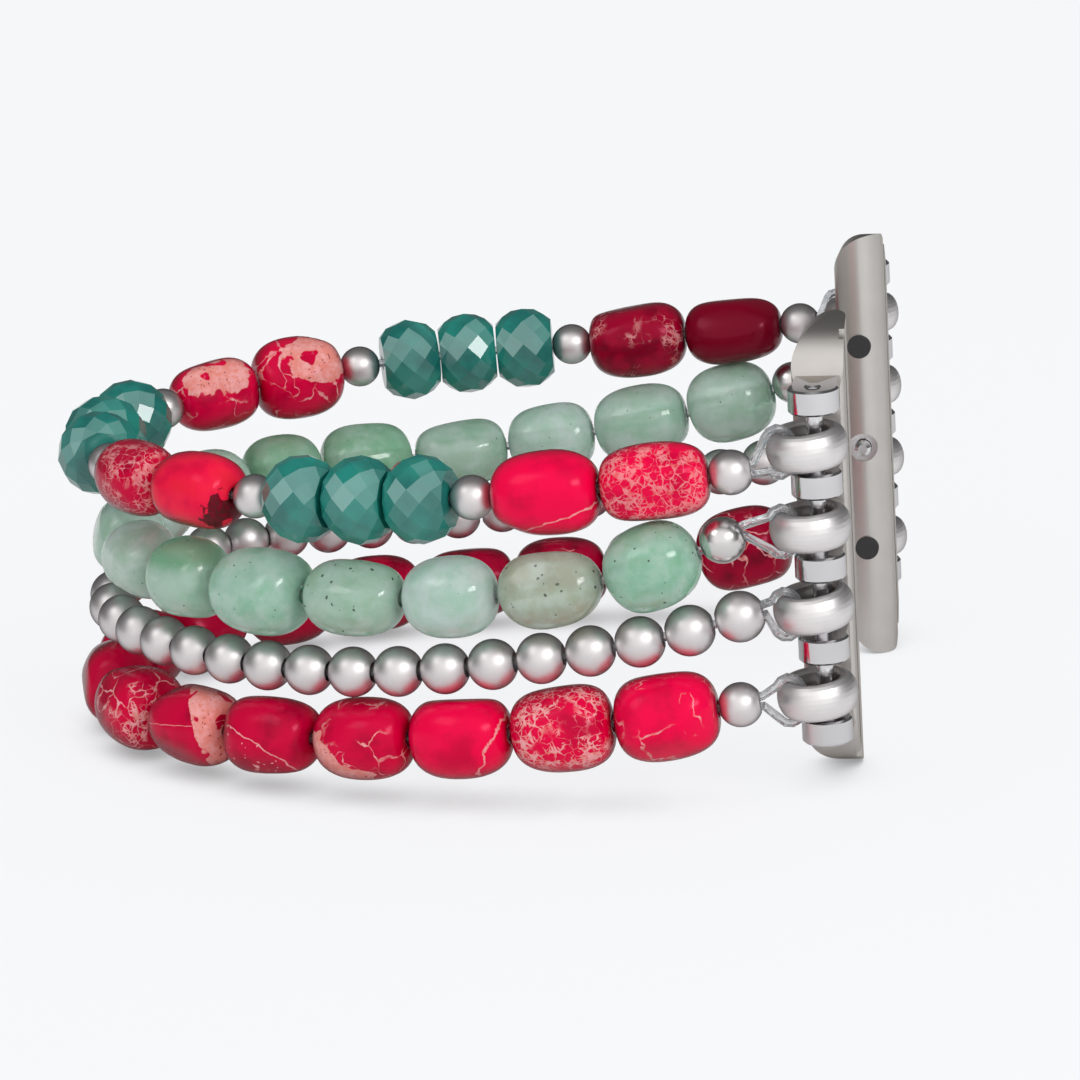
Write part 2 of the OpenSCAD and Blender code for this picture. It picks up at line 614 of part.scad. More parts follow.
// Front outline of the bar: the wrist side of both ends is rounded off
module bar_front_outline() {
    flat = slide_l / 2 - bar_toe_r;
    translate([-slide_w / 2, -flat]) square([slide_w, 2 * flat]);
    translate([-slide_w / 2 + bar_toe_r, -slide_l / 2]) square([slide_w - bar_toe_r, slide_l]);
    for (s = [-1, 1]) translate([-slide_w / 2 + bar_toe_r, s * flat]) circle(r = bar_toe_r);
}

knuckle_chamfer = 0.15;
knuckle_sunk = 0.5;
module knuckle() {
    rotate_extrude() polygon([
        [0, -knuckle_h / 2], [knuckle_d / 2 - knuckle_chamfer, -knuckle_h / 2],
        [knuckle_d / 2, -knuckle_h / 2 + knuckle_chamfer], [knuckle_d / 2, knuckle_h / 2 - knuckle_chamfer],
        [knuckle_d / 2 - knuckle_chamfer, knuckle_h / 2], [0, knuckle_h / 2]
    ]);
    translate([-slide_w / 2 + bar_edge_r, 0, -knuckle_h / 2])
        cube([slide_w - 2 * bar_edge_r, pin_to_bar + knuckle_sunk, knuckle_h]);
}

// Catch sizes: a collar pressed into the back holds the button and its spring
collar_d = catch_d + 1;
collar_l = 0.5;
fit_gap = 0.05;
flange_d = catch_d + 0.4;
flange_l = 0.4;
chamber_l = 2.1;
collar_sunk = 0.25;
collar_back = back_y - collar_sunk;
chamber_floor = collar_back - collar_l - chamber_l;
pad_z = 8;
pad_sunk = 0.7;
pad_proud = 0.2;

module slide_bar(side) {
    color(steel) at_pin(side) difference() {
        union() {
            intersection() {
                linear_extrude(slide_l, center = true) bar_section();
                rotate([90, 0, 90]) linear_extrude(slide_w + 2, center = true) bar_side_outline();
                translate([0, back_y + 1, 0]) rotate([90, 0, 0]) linear_extrude(slide_depth + 2)
                    bar_front_outline();
            }
            for (i = [-2:2]) translate([0, 0, i * pin_pitch]) knuckle();
        }
        cylinder(d = pin_d, h = 4 * pin_pitch + knuckle_h + 2, center = true);
        translate([0, chamber_floor, 0]) rotate([-90, 0, 0])
            cylinder(d = flange_d + 2 * fit_gap, h = chamber_l + collar_l / 2);
        translate([0, collar_back - collar_l, 0]) rotate([-90, 0, 0])
            cylinder(d = collar_d, h = collar_l + 1);
        for (s = [-1, 1]) translate([0, back_y - pad_sunk, s * pad_z]) rotate([-90, 0, 0])
            cylinder(d = pad_d, h = pad_sunk + 1);
    }
}

pin_proud = 0.15;
module hinge_pin(side) {
    half = 2 * pin_pitch + knuckle_h / 2 + pin_proud;
    tip = 0.12;
    color(steel) at_pin(side) rotate_extrude() polygon([
        [0, -half], [pin_d / 2 - tip, -half], [pin_d / 2, -half + tip],
        [pin_d / 2, half - tip], [pin_d / 2 - tip, half], [0, half]
    ]);
}

module catch_collar(side) {
    color(steel) at_pin(side) translate([0, collar_back - collar_l, 0]) rotate([-90, 0, 0]) difference() {
        cylinder(d = collar_d, h = collar_l);
        translate([0, 0, -1]) cylinder(d = catch_d + 2 * fit_gap, h = collar_l + 2);
    }
}

module catch_button(side) {
    tip_l = collar_l + fit_gap + collar_sunk + catch_out;
    dome = 0.25;
    color(steel) at_pin(side) translate([0, collar_back - collar_l - fit_gap - flange_l, 0])
        rotate([-90, 0, 0]) rotate_extrude() polygon([
            [0, 0], [flange_d / 2, 0], [flange_d / 2, flange_l], [catch_d / 2, flange_l],
            [catch_d / 2, flange_l + tip_l - dome], [catch_d / 2 - dome, flange_l + tip_l],
            [0, flange_l + tip_l]
        ]);
}

// Catch spring: one helix of round wire between the chamber floor and the button's flange
spring_turns = 4;
rings_per_turn = 8;
wire_sides = 6;
spring_clear = 0.02;
module catch_spring(side) {
    run = chamber_l - fit_gap - flange_l - spring_wire - 2 * spring_clear;
    mean_r = flange_d / 2 - spring_wire / 2 - spring_clear;
    n = spring_turns * rings_per_turn + 1;
    points = [for (i = [0:n - 1])
        let (a = 360 * i / rings_per_turn, c = [mean_r * cos(a), mean_r * sin(a), run * i / (n - 1)])
        for (j = [0:wire_sides - 1])
            let (b = 360 * j / wire_sides)
            c + spring_wire / 2 * [cos(a) * cos(b), sin(a) * cos(b), sin(b)]];
    faces = [
        for (i = [0:n - 2], j = [0:wire_sides - 1])
            let (a = i * wire_sides + j, b = i * wire_sides + (j + 1) % wire_sides)
            each [[a, b, a + wire_sides], [b, b + wire_sides, a + wire_sides]],
        for (j = [1:wire_sides - 2]) each
            let (far = (n - 1) * wire_sides)
            [[0, j + 1, j], [far, far + j, far + j + 1]]
    ];
    color(steel) at_pin(side) translate([0, chamber_floor + spring_wire / 2 + spring_clear, 0])
        rotate([-90, 0, 0]) polyhedron(points, faces, convexity = 8);
}

module grip_pads(side) {
    color(black) at_pin(side) for (s = [-1, 1])
        translate([0, back_y - pad_sunk, s * pad_z]) rotate([-90, 0, 0])
            cylinder(d = pad_d, h = pad_sunk + pad_proud);
}

echo(centre_x = centre_x, pull_yaw = pull_yaw,
    arcs = [arc_teal_inner, arc_flex, arc_teal_run, arc_end, arc_ring],
    flex_axis = plan(arc_flex), pin = pin_xy, ring = ring_xy, back_y = back_y,
    ring_z = [for (i = [0:3]) ring_level(i) - ring_slid[i]],
    turn_l = [for (i = [0:turn_intervals]) turn_l(i)],
    green_turn_l = [for (i = [0:turn_intervals]) green_turn_l(i)],
    green_l = [for (i = [0:green_run_count - 1]) green_l(i)],
    big_red_l = [for (i = [0:big_red_run_count - 1]) run_l(i)],
    balls = [ball_l, ball_turn_intervals, ball_turn_pitch, ball_run_count, ball_run_pitch],
    mid = mid_level, ends = end_level);

middle_teal_beads();
middle_red_nuggets();
middle_spacer_beads();
middle_green_nuggets();
middle_silver_balls();
middle_big_red_nuggets();
middle_cord(0);  // middle_cord_1
middle_cord(1);  // middle_cord_2
middle_cord(2);  // middle_cord_3
middle_cord(3);  // middle_cord_4
run_teal_beads(front);  // front_teal_beads
run_red_nuggets(front);  // front_red_nuggets
run_spacer_beads(front);  // front_spacer_beads
run_green_nuggets(front);  // front_green_nuggets
run_green_end_bead(front);  // front_green_end_bead
run_silver_balls(front);  // front_silver_balls
run_big_red_nuggets(front);  // front_big_red_nuggets
run_big_red_end_bead(front);  // front_big_red_end_bead
run_cord(front, 0);  // front_cord_1
run_cord(front, 1);  // front_cord_2
run_cord(front, 2);  // front_cord_3
run_cord(front, 3);  // front_cord_4
run_teal_beads(rear);  // rear_teal_beads
run_red_nuggets(rear);  // rear_red_nuggets
run_spacer_beads(rear);  // rear_spacer_beads
run_green_nuggets(rear);  // rear_green_nuggets
run_green_end_bead(rear);  // rear_green_end_bead
run_silver_balls(rear);  // rear_silver_balls
run_big_red_nuggets(rear);  // rear_big_red_nuggets
run_big_red_end_bead(rear);  // rear_big_red_end_bead
run_cord(rear, 0);  // rear_cord_1
run_cord(rear, 1);  // rear_cord_2
run_cord(rear, 2);  // rear_cord_3
run_cord(rear, 3);  // rear_cord_4
cord_ring(front, 0);  // front_ring_1
cord_ring(front, 1);  // front_ring_2
cord_ring(front, 2);  // front_ring_3
cord_ring(front, 3);  // front_ring_4
cord_ring(rear, 0);  // rear_ring_1
cord_ring(rear, 1);  // rear_ring_2
cord_ring(rear, 2);  // rear_ring_3
cord_ring(rear, 3);  // rear_ring_4
slide_bar(front);  // front_slide_bar
hinge_pin(front);  // front_hinge_pin
catch_collar(front);  // front_catch_collar
catch_button(front);  // front_catch_button
catch_spring(front);  // front_catch_spring
grip_pads(front);  // front_grip_pads
slide_bar(rear);  // rear_slide_bar
hinge_pin(rear);  // rear_hinge_pin
catch_collar(rear);  // rear_catch_collar
catch_button(rear);  // rear_catch_button
catch_spring(rear);  // rear_catch_spring
grip_pads(rear);  // rear_grip_pads
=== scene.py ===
"""Looks of the bead watch strap: tumbled stones, cut glass, satin steel and clear cord."""

import logging
import math
import random
from collections.abc import Sequence
from dataclasses import dataclass, field
from enum import Enum

import bmesh
import bpy
import numpy as np
from mathutils import Matrix, Vector, noise


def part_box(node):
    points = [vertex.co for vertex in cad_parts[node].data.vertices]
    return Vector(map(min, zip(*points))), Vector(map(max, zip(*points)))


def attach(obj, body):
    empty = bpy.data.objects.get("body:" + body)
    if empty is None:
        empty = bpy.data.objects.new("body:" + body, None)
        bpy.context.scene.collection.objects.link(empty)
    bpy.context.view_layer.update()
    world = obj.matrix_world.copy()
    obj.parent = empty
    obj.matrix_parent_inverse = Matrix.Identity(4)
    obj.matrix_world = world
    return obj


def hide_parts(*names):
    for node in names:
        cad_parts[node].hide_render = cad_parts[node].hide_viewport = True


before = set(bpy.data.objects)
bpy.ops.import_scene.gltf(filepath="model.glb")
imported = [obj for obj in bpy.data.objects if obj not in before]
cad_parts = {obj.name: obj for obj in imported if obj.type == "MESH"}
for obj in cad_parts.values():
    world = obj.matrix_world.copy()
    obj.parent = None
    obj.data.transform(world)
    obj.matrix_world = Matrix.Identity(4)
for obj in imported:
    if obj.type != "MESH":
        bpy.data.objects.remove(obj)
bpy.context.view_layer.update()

LOG = logging.getLogger("strap")
MM = 0.001
UP = Vector((0.0, 0.0, 1.0))
TINY = 1e-9
RING_NUMBERS = range(1, 5)

Colour = tuple[float, float, float]
Triple = tuple[float, float, float]
Pair = tuple[float, float]
Curve = tuple[float, float, float, float]
Wire = bpy.types.NodeSocket
Material = bpy.types.Material


class Side(Enum):
    """The two mirrored halves of the strap."""

    FRONT = "front"
    REAR = "rear"


def shade_of(red: int, green: int, blue: int) -> Colour:
    """Turns a screen colour into the linear colour that shaders use.

    Args:
        red: Red from 0 to 255.
        green: Green from 0 to 255.
        blue: Blue from 0 to 255.

    Returns:
        The linear red, green and blue, from 0 to 1.
    """
    def linear(level: int) -> float:
        """Turns one screen level into its linear value by the usual screen curve."""
        share = level / 255
        return share / 12.92 if share <= 0.04045 else ((share + 0.055) / 1.055) ** 2.4

    return linear(red), linear(green), linear(blue)


def toward(azimuth: float, elevation: float) -> Vector:
    """Direction from the object towards a place around it.

    Args:
        azimuth: Angle from the front, positive to the right, in degrees.
        elevation: Angle above the floor, in degrees.

    Returns:
        The unit vector.
    """
    turn, lift = math.radians(azimuth), math.radians(elevation)
    return Vector((math.sin(turn) * math.cos(lift), -math.cos(turn) * math.cos(lift), math.sin(lift)))


class Graph:
    """A small helper that lays out one shader tree."""

    def __init__(self, tree: bpy.types.NodeTree) -> None:
        """Empties the tree that is to be filled."""
        self.tree = tree
        tree.nodes.clear()

    def add(self, kind: str, inputs: dict[str | int, object] | None = None,
            **settings: object) -> bpy.types.Node:
        """Adds a node.

        Args:
            kind: Blender's name of the node type, without the leading ShaderNode.
            inputs: Values or wires for its sockets, by name or index.
            settings: Plain properties of the node.

        Returns:
            The new node.
        """
        node = self.tree.nodes.new("ShaderNode" + kind)
        for name, value in settings.items():
            setattr(node, name, value)
        for name, value in (inputs or {}).items():
            if isinstance(value, bpy.types.NodeSocket):
                self.tree.links.new(value, node.inputs[name])
            elif isinstance(value, tuple) and len(value) == 3 and node.inputs[name].type == "RGBA":
                node.inputs[name].default_value = (*value, 1.0)
            else:
                node.inputs[name].default_value = value
        return node

    def math(self, operation: str, *values: float | Wire) -> Wire:
        """The result of a Math node on numbers or wires."""
        return self.add("Math", dict(enumerate(values)), operation=operation).outputs[0]

    def vector(self, operation: str, *values: Triple | Wire) -> Wire:
        """The vector result of a Vector Math node."""
        return self.add("VectorMath", dict(enumerate(values)), operation=operation).outputs[0]

    def scaled(self, vector: Wire, factor: float) -> Wire:
        """A vector times a factor."""
        return self.add("VectorMath", {0: vector, "Scale": factor}, operation="SCALE").outputs[0]

    def dot(self, first: Wire, second: Triple | Wire) -> Wire:
        """The dot product of two vectors."""
        return self.add("VectorMath", {0: first, 1: second}, operation="DOT_PRODUCT").outputs["Value"]

    def swing(self, level: Wire, reach: float | Wire) -> Wire:
        """A level from 0 to 1 turned into a swing about nought, times a reach."""
        return self.math("MULTIPLY", self.math("SUBTRACT", level, 0.5), reach)

    def ramp(self, value: Wire, low: float | Wire, high: float | Wire, to_low: float = 0.0,
             to_high: float = 1.0) -> Wire:
        """A value mapped smoothly from the range low to high onto to_low to to_high."""
        inputs = {"Value": value, "From Min": low, "From Max": high, "To Min": to_low, "To Max": to_high}
        return self.add("MapRange", inputs, interpolation_type="SMOOTHSTEP").outputs[0]

    def mix(self, share: float | Wire, first: Colour | Wire, second: Colour | Wire) -> Wire:
        """Mixes two colours.

        Args:
            share: Share of the second colour.
            first: The first colour.
            second: The second colour.

        Returns:
            The mixed colour's wire.
        """
        node = self.add("Mix", {0: share}, data_type="RGBA")
        for index, value in ((6, first), (7, second)):
            if isinstance(value, bpy.types.NodeSocket):
                self.tree.links.new(value, node.inputs[index])
            else:
                node.inputs[index].default_value = (*value, 1.0)
        return node.outputs[2]

    def noise(self, place: Wire, scale: float, detail: float = 2.0,
              roughness: float = 0.5) -> bpy.types.Node:
        """A noise texture of so many waves a unit, so many octaves and so much strength in the finer ones."""
        inputs = {"Vector": place, "Scale": scale, "Detail": detail, "Roughness": roughness}
        return self.add("TexNoise", inputs)

    def level(self, place: Wire, scale: float, detail: float = 2.0, roughness: float = 0.5) -> Wire:
        """A noise's grey level, from 0 to 1."""
        return self.noise(place, scale, detail, roughness).outputs["Fac"]

    def drift(self, place: Wire, scale: float, reach: float) -> Wire:
        """Coordinates moved by a noise, so that a pattern laid on them wanders."""
        swirl = self.vector("SUBTRACT", self.noise(place, scale).outputs["Color"], (0.5, 0.5, 0.5))
        return self.vector("ADD", place, self.scaled(swirl, reach))

    def edges(self, place: Wire, scale: float) -> Wire:
        """The distance to the nearest edge between cells, of which there are scale a unit."""
        inputs = {"Vector": place, "Scale": scale}
        return self.add("TexVoronoi", inputs, feature="DISTANCE_TO_EDGE").outputs[0]

    def dots(self, place: Wire, scale: float, size: float | Wire) -> Wire:
        """Scattered round dots, scale of them a unit; size is their radius against their spacing."""
        distance = self.add("TexVoronoi", {"Vector": place, "Scale": scale}).outputs["Distance"]
        return self.math("LESS_THAN", distance, size)

    def facing(self, blend: float) -> Wire:
        """How far the surface turns away from the viewer, from 0 head on to 1 at the silhouette; the finishes
        paint rim shade and rim light with it.
        """
        return self.add("LayerWeight", {"Blend": blend}).outputs["Facing"]

    def bump(self, height: Wire, strength: float, depth: float) -> Wire:
        """The bent normal of a fine relief, with its depth in metres."""
        return self.add("Bump", {"Strength": strength, "Distance": depth, "Height": height}).outputs[0]

    def stone(self, name: str) -> Wire:
        """One of the vectors that each stone carries."""
        return self.add("Attribute", attribute_name=name).outputs["Vector"]

    def parts(self, vector: Wire) -> tuple[Wire, Wire, Wire]:
        """The three parts of a vector."""
        node = self.add("SeparateXYZ", {0: vector})
        return node.outputs[0], node.outputs[1], node.outputs[2]

    def finish(self, shader: bpy.types.Node) -> None:
        """Wires a shader to the material's output."""
        output = self.add("OutputMaterial")
        self.tree.links.new(shader.outputs[0], output.inputs["Surface"])


def new_graph(name: str) -> tuple[Material, Graph]:
    """Starts a material.

    Args:
        name: The material's name.

    Returns:
        The material and its empty graph.
    """
    material = bpy.data.materials.new(name)
    material.use_nodes = True
    return material, Graph(material.node_tree)


@dataclass(frozen=True)
class SteelFinish:
    """Steel with a fine grain, from satin to polished; on some, painted shade darkens the colour toward the
    silhouette by a set share.
    """

    name: str
    colour: Colour
    roughness: float
    painted_rim_shade: float = 0.0
    grain_scale: float = 9000.0
    grain: float = 0.012
    cloud_scale: float = 400.0
    cloud: float = 0.012
    spread: Pair = (0.3, 0.7)
    dulling: float = 0.96
    clouded: Curve = (0.35, 0.65, 0.0, 1.0)
    painted_rim_share: Curve = (0.25, 0.85, 0.0, 1.0)
    painted_rim_blend: float = 0.3
    relief: float = 0.015
    relief_depth: float = 0.02 * MM

    def material(self) -> Material:
        """Builds the material."""
        material, graph = new_graph(self.name)
        place = graph.add("TexCoord").outputs["Object"]
        fine = graph.level(place, self.grain_scale, 3.0)
        cloud = graph.level(place, self.cloud_scale)
        low, high = self.roughness - self.cloud, self.roughness + self.cloud
        rough = graph.math("ADD", graph.ramp(cloud, *self.spread, low, high),
                           graph.ramp(fine, *self.spread, -self.grain, self.grain))
        dull = tuple(self.dulling * level for level in self.colour)
        # Painted shade: the darker colour that the rim is painted in, which also tints the grazing
        # reflections.
        edge = tuple((1.0 - self.painted_rim_shade) * level for level in self.colour)
        body = graph.mix(graph.ramp(cloud, *self.clouded), self.colour, dull)
        # Painted shade: Layer Weight sets how far the colour is darkened toward the silhouette.
        painted_rim_share = graph.ramp(graph.facing(self.painted_rim_blend), *self.painted_rim_share)
        graph.finish(graph.add("BsdfPrincipled", {
            "Base Color": graph.mix(painted_rim_share, body, edge),
            "Metallic": 1.0,
            "Specular Tint": (*edge, 1.0),
            "Roughness": rough,
            "Normal": graph.bump(fine, self.relief, self.relief_depth),
        }))
        return material


@dataclass(frozen=True)
class JasperWires:
    """Wires that several layers of the jasper share.

    Attributes:
        place: The stone's own coordinates in millimetres.
        bent: The coordinates bent widely, for cracks and specks.
        swayed: The coordinates swayed finely, for webs and freckles.
        thick: A noise that sets how thick lines and dots are.
        tone: A wide noise that shades the colour.
        edge: The noise that frays a patch.
    """

    place: Wire
    bent: Wire
    swayed: Wire
    thick: Wire
    tone: Wire
    edge: Wire


@dataclass(frozen=True)
class JasperFinish:
    """Dyed jasper: crimson with pale cracks, foamy webs and salmon patches, with painted shade toward its
    silhouette.

    Each stone carries its own amounts: stone_look holds cracks, foam and depth, stone_tint holds orange,
    burnt and freckled, stone_patch points to the side that the patch covers, stone_vein to its one long
    vein, and stone_edge holds how ragged the patch is and how pale the web. Scales are in waves or cells a
    millimetre. A bend or sway is a scale and a reach, and a curve is the start and end of a range and the
    results there.
    """

    name: str
    bright: Colour = shade_of(244, 0, 70)
    dark: Colour = shade_of(118, 0, 30)
    # Painted shade: the deep crimson painted toward each stone's silhouette.
    painted_rim_colour: Colour = shade_of(88, 0, 24)
    vein: Colour = shade_of(246, 182, 182)
    salmon: Colour = shade_of(232, 140, 128)
    orange: Colour = shade_of(236, 66, 40)
    burnt: Colour = shade_of(74, 26, 20)
    sheen: Colour = (1.0, 0.3, 0.45)

    bend: Pair = (0.5, 2.4)
    fine_bend: Pair = (2.4, 0.3)
    sway: Pair = (0.7, 0.9)
    fine_sway: Pair = (2.2, 0.34)
    region_scale: float = 0.36
    thick_scale: float = 0.9
    tone_scale: float = 0.38
    edge_scale: float = 1.0

    crack_scale: float = 0.4
    crack_width: Curve = (0.35, 0.72, 0.003, 0.045)
    crack_edge: Curve = (-0.004, 0.012, 1.0, 0.0)
    cracked: Curve = (0.92, 1.06, 0.0, 1.0)
    web_scale: float = 1.35
    web_width: Curve = (0.38, 0.66, 0.0, 0.11)
    web_edge: Curve = (-0.015, 0.03, 1.0, 0.0)
    fine_web_scale: float = 2.7
    fine_web_edge: Curve = (-0.01, 0.03, 0.8, 0.0)
    fine_webbed: Curve = (0.48, 0.56, 0.0, 1.0)
    webbed: Curve = (0.95, 1.06, 0.0, 1.0)
    vein_wobble: float = 0.5
    vein_edge: Curve = (0.022, 0.05, 0.9, 0.0)

    fray: float = 0.5
    blotch_scale: float = 0.55
    patched: Curve = (0.97, 1.0, 0.0, 1.0)
    island_scale: float = 0.62
    islanded: Curve = (0.6, 0.62, 0.0, 1.0)
    speck_scale: float = 2.3
    speck_size: Curve = (0.4, 0.6, 0.05, 0.2)
    speck_share: float = 0.75
    patch_pale: Curve = (0.35, 0.65, 0.0, 0.7)
    mottle_scale: float = 3.2
    mottled: Curve = (0.42, 0.58, 0.0, 1.0)
    freckle_scale: float = 2.2
    freckle_size: Curve = (0.42, 0.66, 0.06, 0.34)

    shaded: Curve = (0.44, 0.72, 0.0, 0.34)
    orange_spread: Curve = (0.3, 0.62, 1.0, 0.2)
    pale_scale: float = 2.6
    pale_spread: Curve = (0.34, 0.52, 0.0, 1.0)
    line_share: float = 0.85
    painted_rim_blend: float = 0.3
    painted_rim_share: Curve = (0.16, 0.8, 0.0, 0.92)
    tone_relief: float = 0.6
    line_relief: float = 0.2
    relief: float = 0.1
    relief_depth: float = 0.06 * MM
    rough: Curve = (0.0, 1.0, 0.2, 0.32)

    def material(self) -> Material:
        """Builds the material."""
        material, graph = new_graph(self.name)
        place = graph.stone("stone_place")
        wires = JasperWires(
            place=place,
            bent=graph.drift(graph.drift(place, *self.bend), *self.fine_bend),
            swayed=graph.drift(graph.drift(place, *self.sway), *self.fine_sway),
            thick=graph.level(place, self.thick_scale, 3.0),
            tone=graph.level(place, self.tone_scale, 3.0),
            edge=graph.level(place, self.edge_scale, 4.0, 0.6),
        )
        lines = self.lines(graph, wires)
        grain = graph.level(place, self.pale_scale, 3.0)
        pale = graph.mix(graph.ramp(grain, *self.pale_spread), self.salmon, self.vein)
        body = graph.mix(graph.math("MULTIPLY", lines, self.line_share), self.dyed(graph, wires), pale)
        patch = self.patch(graph, wires)
        body = graph.mix(patch, body, self.patch_colour(graph, wires, body, pale))
        # Painted shade: Layer Weight darkens the colour toward the silhouette.
        painted_rim_share = graph.ramp(graph.facing(self.painted_rim_blend), *self.painted_rim_share)
        height = graph.math("SUBTRACT", graph.math("MULTIPLY", wires.tone, self.tone_relief),
                            graph.math("MULTIPLY", lines, self.line_relief))
        graph.finish(graph.add("BsdfPrincipled", {
            "Base Color": graph.mix(painted_rim_share, body, self.painted_rim_colour),
            "Roughness": graph.ramp(graph.math("MAXIMUM", lines, patch), *self.rough),
            "IOR": 1.54,
            "Specular IOR Level": 0.32,
            "Specular Tint": (*self.sheen, 1.0),
            "Normal": graph.bump(height, self.relief, self.relief_depth),
        }))
        return material

    def lines(self, graph: Graph, wires: JasperWires) -> Wire:
        """How far a crack, a web or the long vein covers the stone.

        Args:
            graph: The material's graph.
            wires: The shared wires.

        Returns:
            The cover's wire.
        """
        cracks, foam, _ = graph.parts(graph.stone("stone_look"))
        _, web_share, _ = graph.parts(graph.stone("stone_edge"))
        region = graph.level(wires.place, self.region_scale)
        crack = self.line(graph, graph.edges(wires.bent, self.crack_scale),
                          graph.ramp(wires.thick, *self.crack_width), self.crack_edge)
        crack = graph.math("MULTIPLY", crack, graph.ramp(graph.math("ADD", region, cracks), *self.cracked))
        width = graph.ramp(wires.thick, *self.web_width)
        web = self.line(graph, graph.edges(wires.swayed, self.web_scale), width, self.web_edge)
        fine = self.line(graph, graph.edges(wires.swayed, self.fine_web_scale), width, self.fine_web_edge)
        fine = graph.math("MULTIPLY", fine, graph.ramp(wires.thick, *self.fine_webbed))
        web = graph.math("MAXIMUM", web, fine)
        web = graph.math("MULTIPLY", web, graph.ramp(graph.math("ADD", region, foam), *self.webbed))
        web = graph.math("MULTIPLY", web, web_share)
        return graph.math("MAXIMUM", graph.math("MAXIMUM", crack, web), self.long_vein(graph, wires))

    @staticmethod
    def line(graph: Graph, distance: Wire, width: Wire, edge: Curve) -> Wire:
        """A line of some half width along the edges between cells, which fades out beyond it."""
        return graph.ramp(graph.math("SUBTRACT", distance, width), *edge)

    def long_vein(self, graph: Graph, wires: JasperWires) -> Wire:
        """The one long vein, where a wobbly plane cuts the stone.

        Args:
            graph: The material's graph.
            wires: The shared wires.

        Returns:
            The vein's wire.
        """
        plane = graph.dot(graph.stone("stone_local"), graph.stone("stone_vein"))
        plane = graph.math("ADD", plane, graph.swing(wires.thick, self.vein_wobble))
        off = graph.math("ABSOLUTE", graph.math("SUBTRACT", plane, 1.0))
        return graph.ramp(off, *self.vein_edge)

    def patch(self, graph: Graph, wires: JasperWires) -> Wire:
        """The patch on one side of the stone, frayed, blotched and with islands left out.

        Args:
            graph: The material's graph.
            wires: The shared wires.

        Returns:
            The wire of how far the patch covers the stone.
        """
        ragged, _, _ = graph.parts(graph.stone("stone_edge"))
        side = graph.dot(graph.stone("stone_local"), graph.stone("stone_patch"))
        side = graph.math("ADD", side, graph.swing(wires.edge, self.fray))
        side = graph.math("ADD", side, graph.swing(graph.level(wires.place, self.blotch_scale, 1.0), ragged))
        islands = graph.level(wires.place, self.island_scale, 1.0)
        left = graph.math("SUBTRACT", 1.0, graph.ramp(islands, *self.islanded))
        return graph.math("MULTIPLY", graph.ramp(side, *self.patched), left)

    def dyed(self, graph: Graph, wires: JasperWires) -> Wire:
        """The dyed stone under its lines and its patch.

        Args:
            graph: The material's graph.
            wires: The shared wires.

        Returns:
            The colour's wire.
        """
        _, _, depth = graph.parts(graph.stone("stone_look"))
        orange, _, _ = graph.parts(graph.stone("stone_tint"))
        shade = graph.math("ADD", graph.ramp(wires.tone, *self.shaded), depth)
        body = graph.mix(graph.math("MINIMUM", shade, 1.0), self.bright, self.dark)
        spread = graph.ramp(wires.tone, *self.orange_spread)
        return graph.mix(graph.math("MULTIPLY", orange, spread), body, self.orange)

    def patch_colour(self, graph: Graph, wires: JasperWires, body: Wire, pale: Wire) -> Wire:
        """The patch's own colour: salmon with dark specks, burnt, or the body with pale freckles.

        Args:
            graph: The material's graph.
            wires: The shared wires.
            body: The wire of the colour beside the patch.
            pale: The wire of the lines' colour.

        Returns:
            The colour's wire.
        """
        _, burnt, freckled = graph.parts(graph.stone("stone_tint"))
        speck = graph.dots(wires.bent, self.speck_scale, graph.ramp(wires.thick, *self.speck_size))
        salmon = graph.mix(graph.ramp(wires.edge, *self.patch_pale), self.salmon, pale)
        salmon = graph.mix(graph.math("MULTIPLY", speck, self.speck_share), salmon, self.dark)
        mottle = graph.level(wires.place, self.mottle_scale, 4.0, 0.7)
        scorched = graph.mix(graph.ramp(mottle, *self.mottled), self.burnt, self.dark)
        filled = graph.mix(burnt, salmon, scorched)
        size = graph.ramp(wires.thick, *self.freckle_size)
        freckles = graph.dots(wires.swayed, self.freckle_scale, size)
        return graph.mix(freckled, filled, graph.mix(freckles, body, pale))


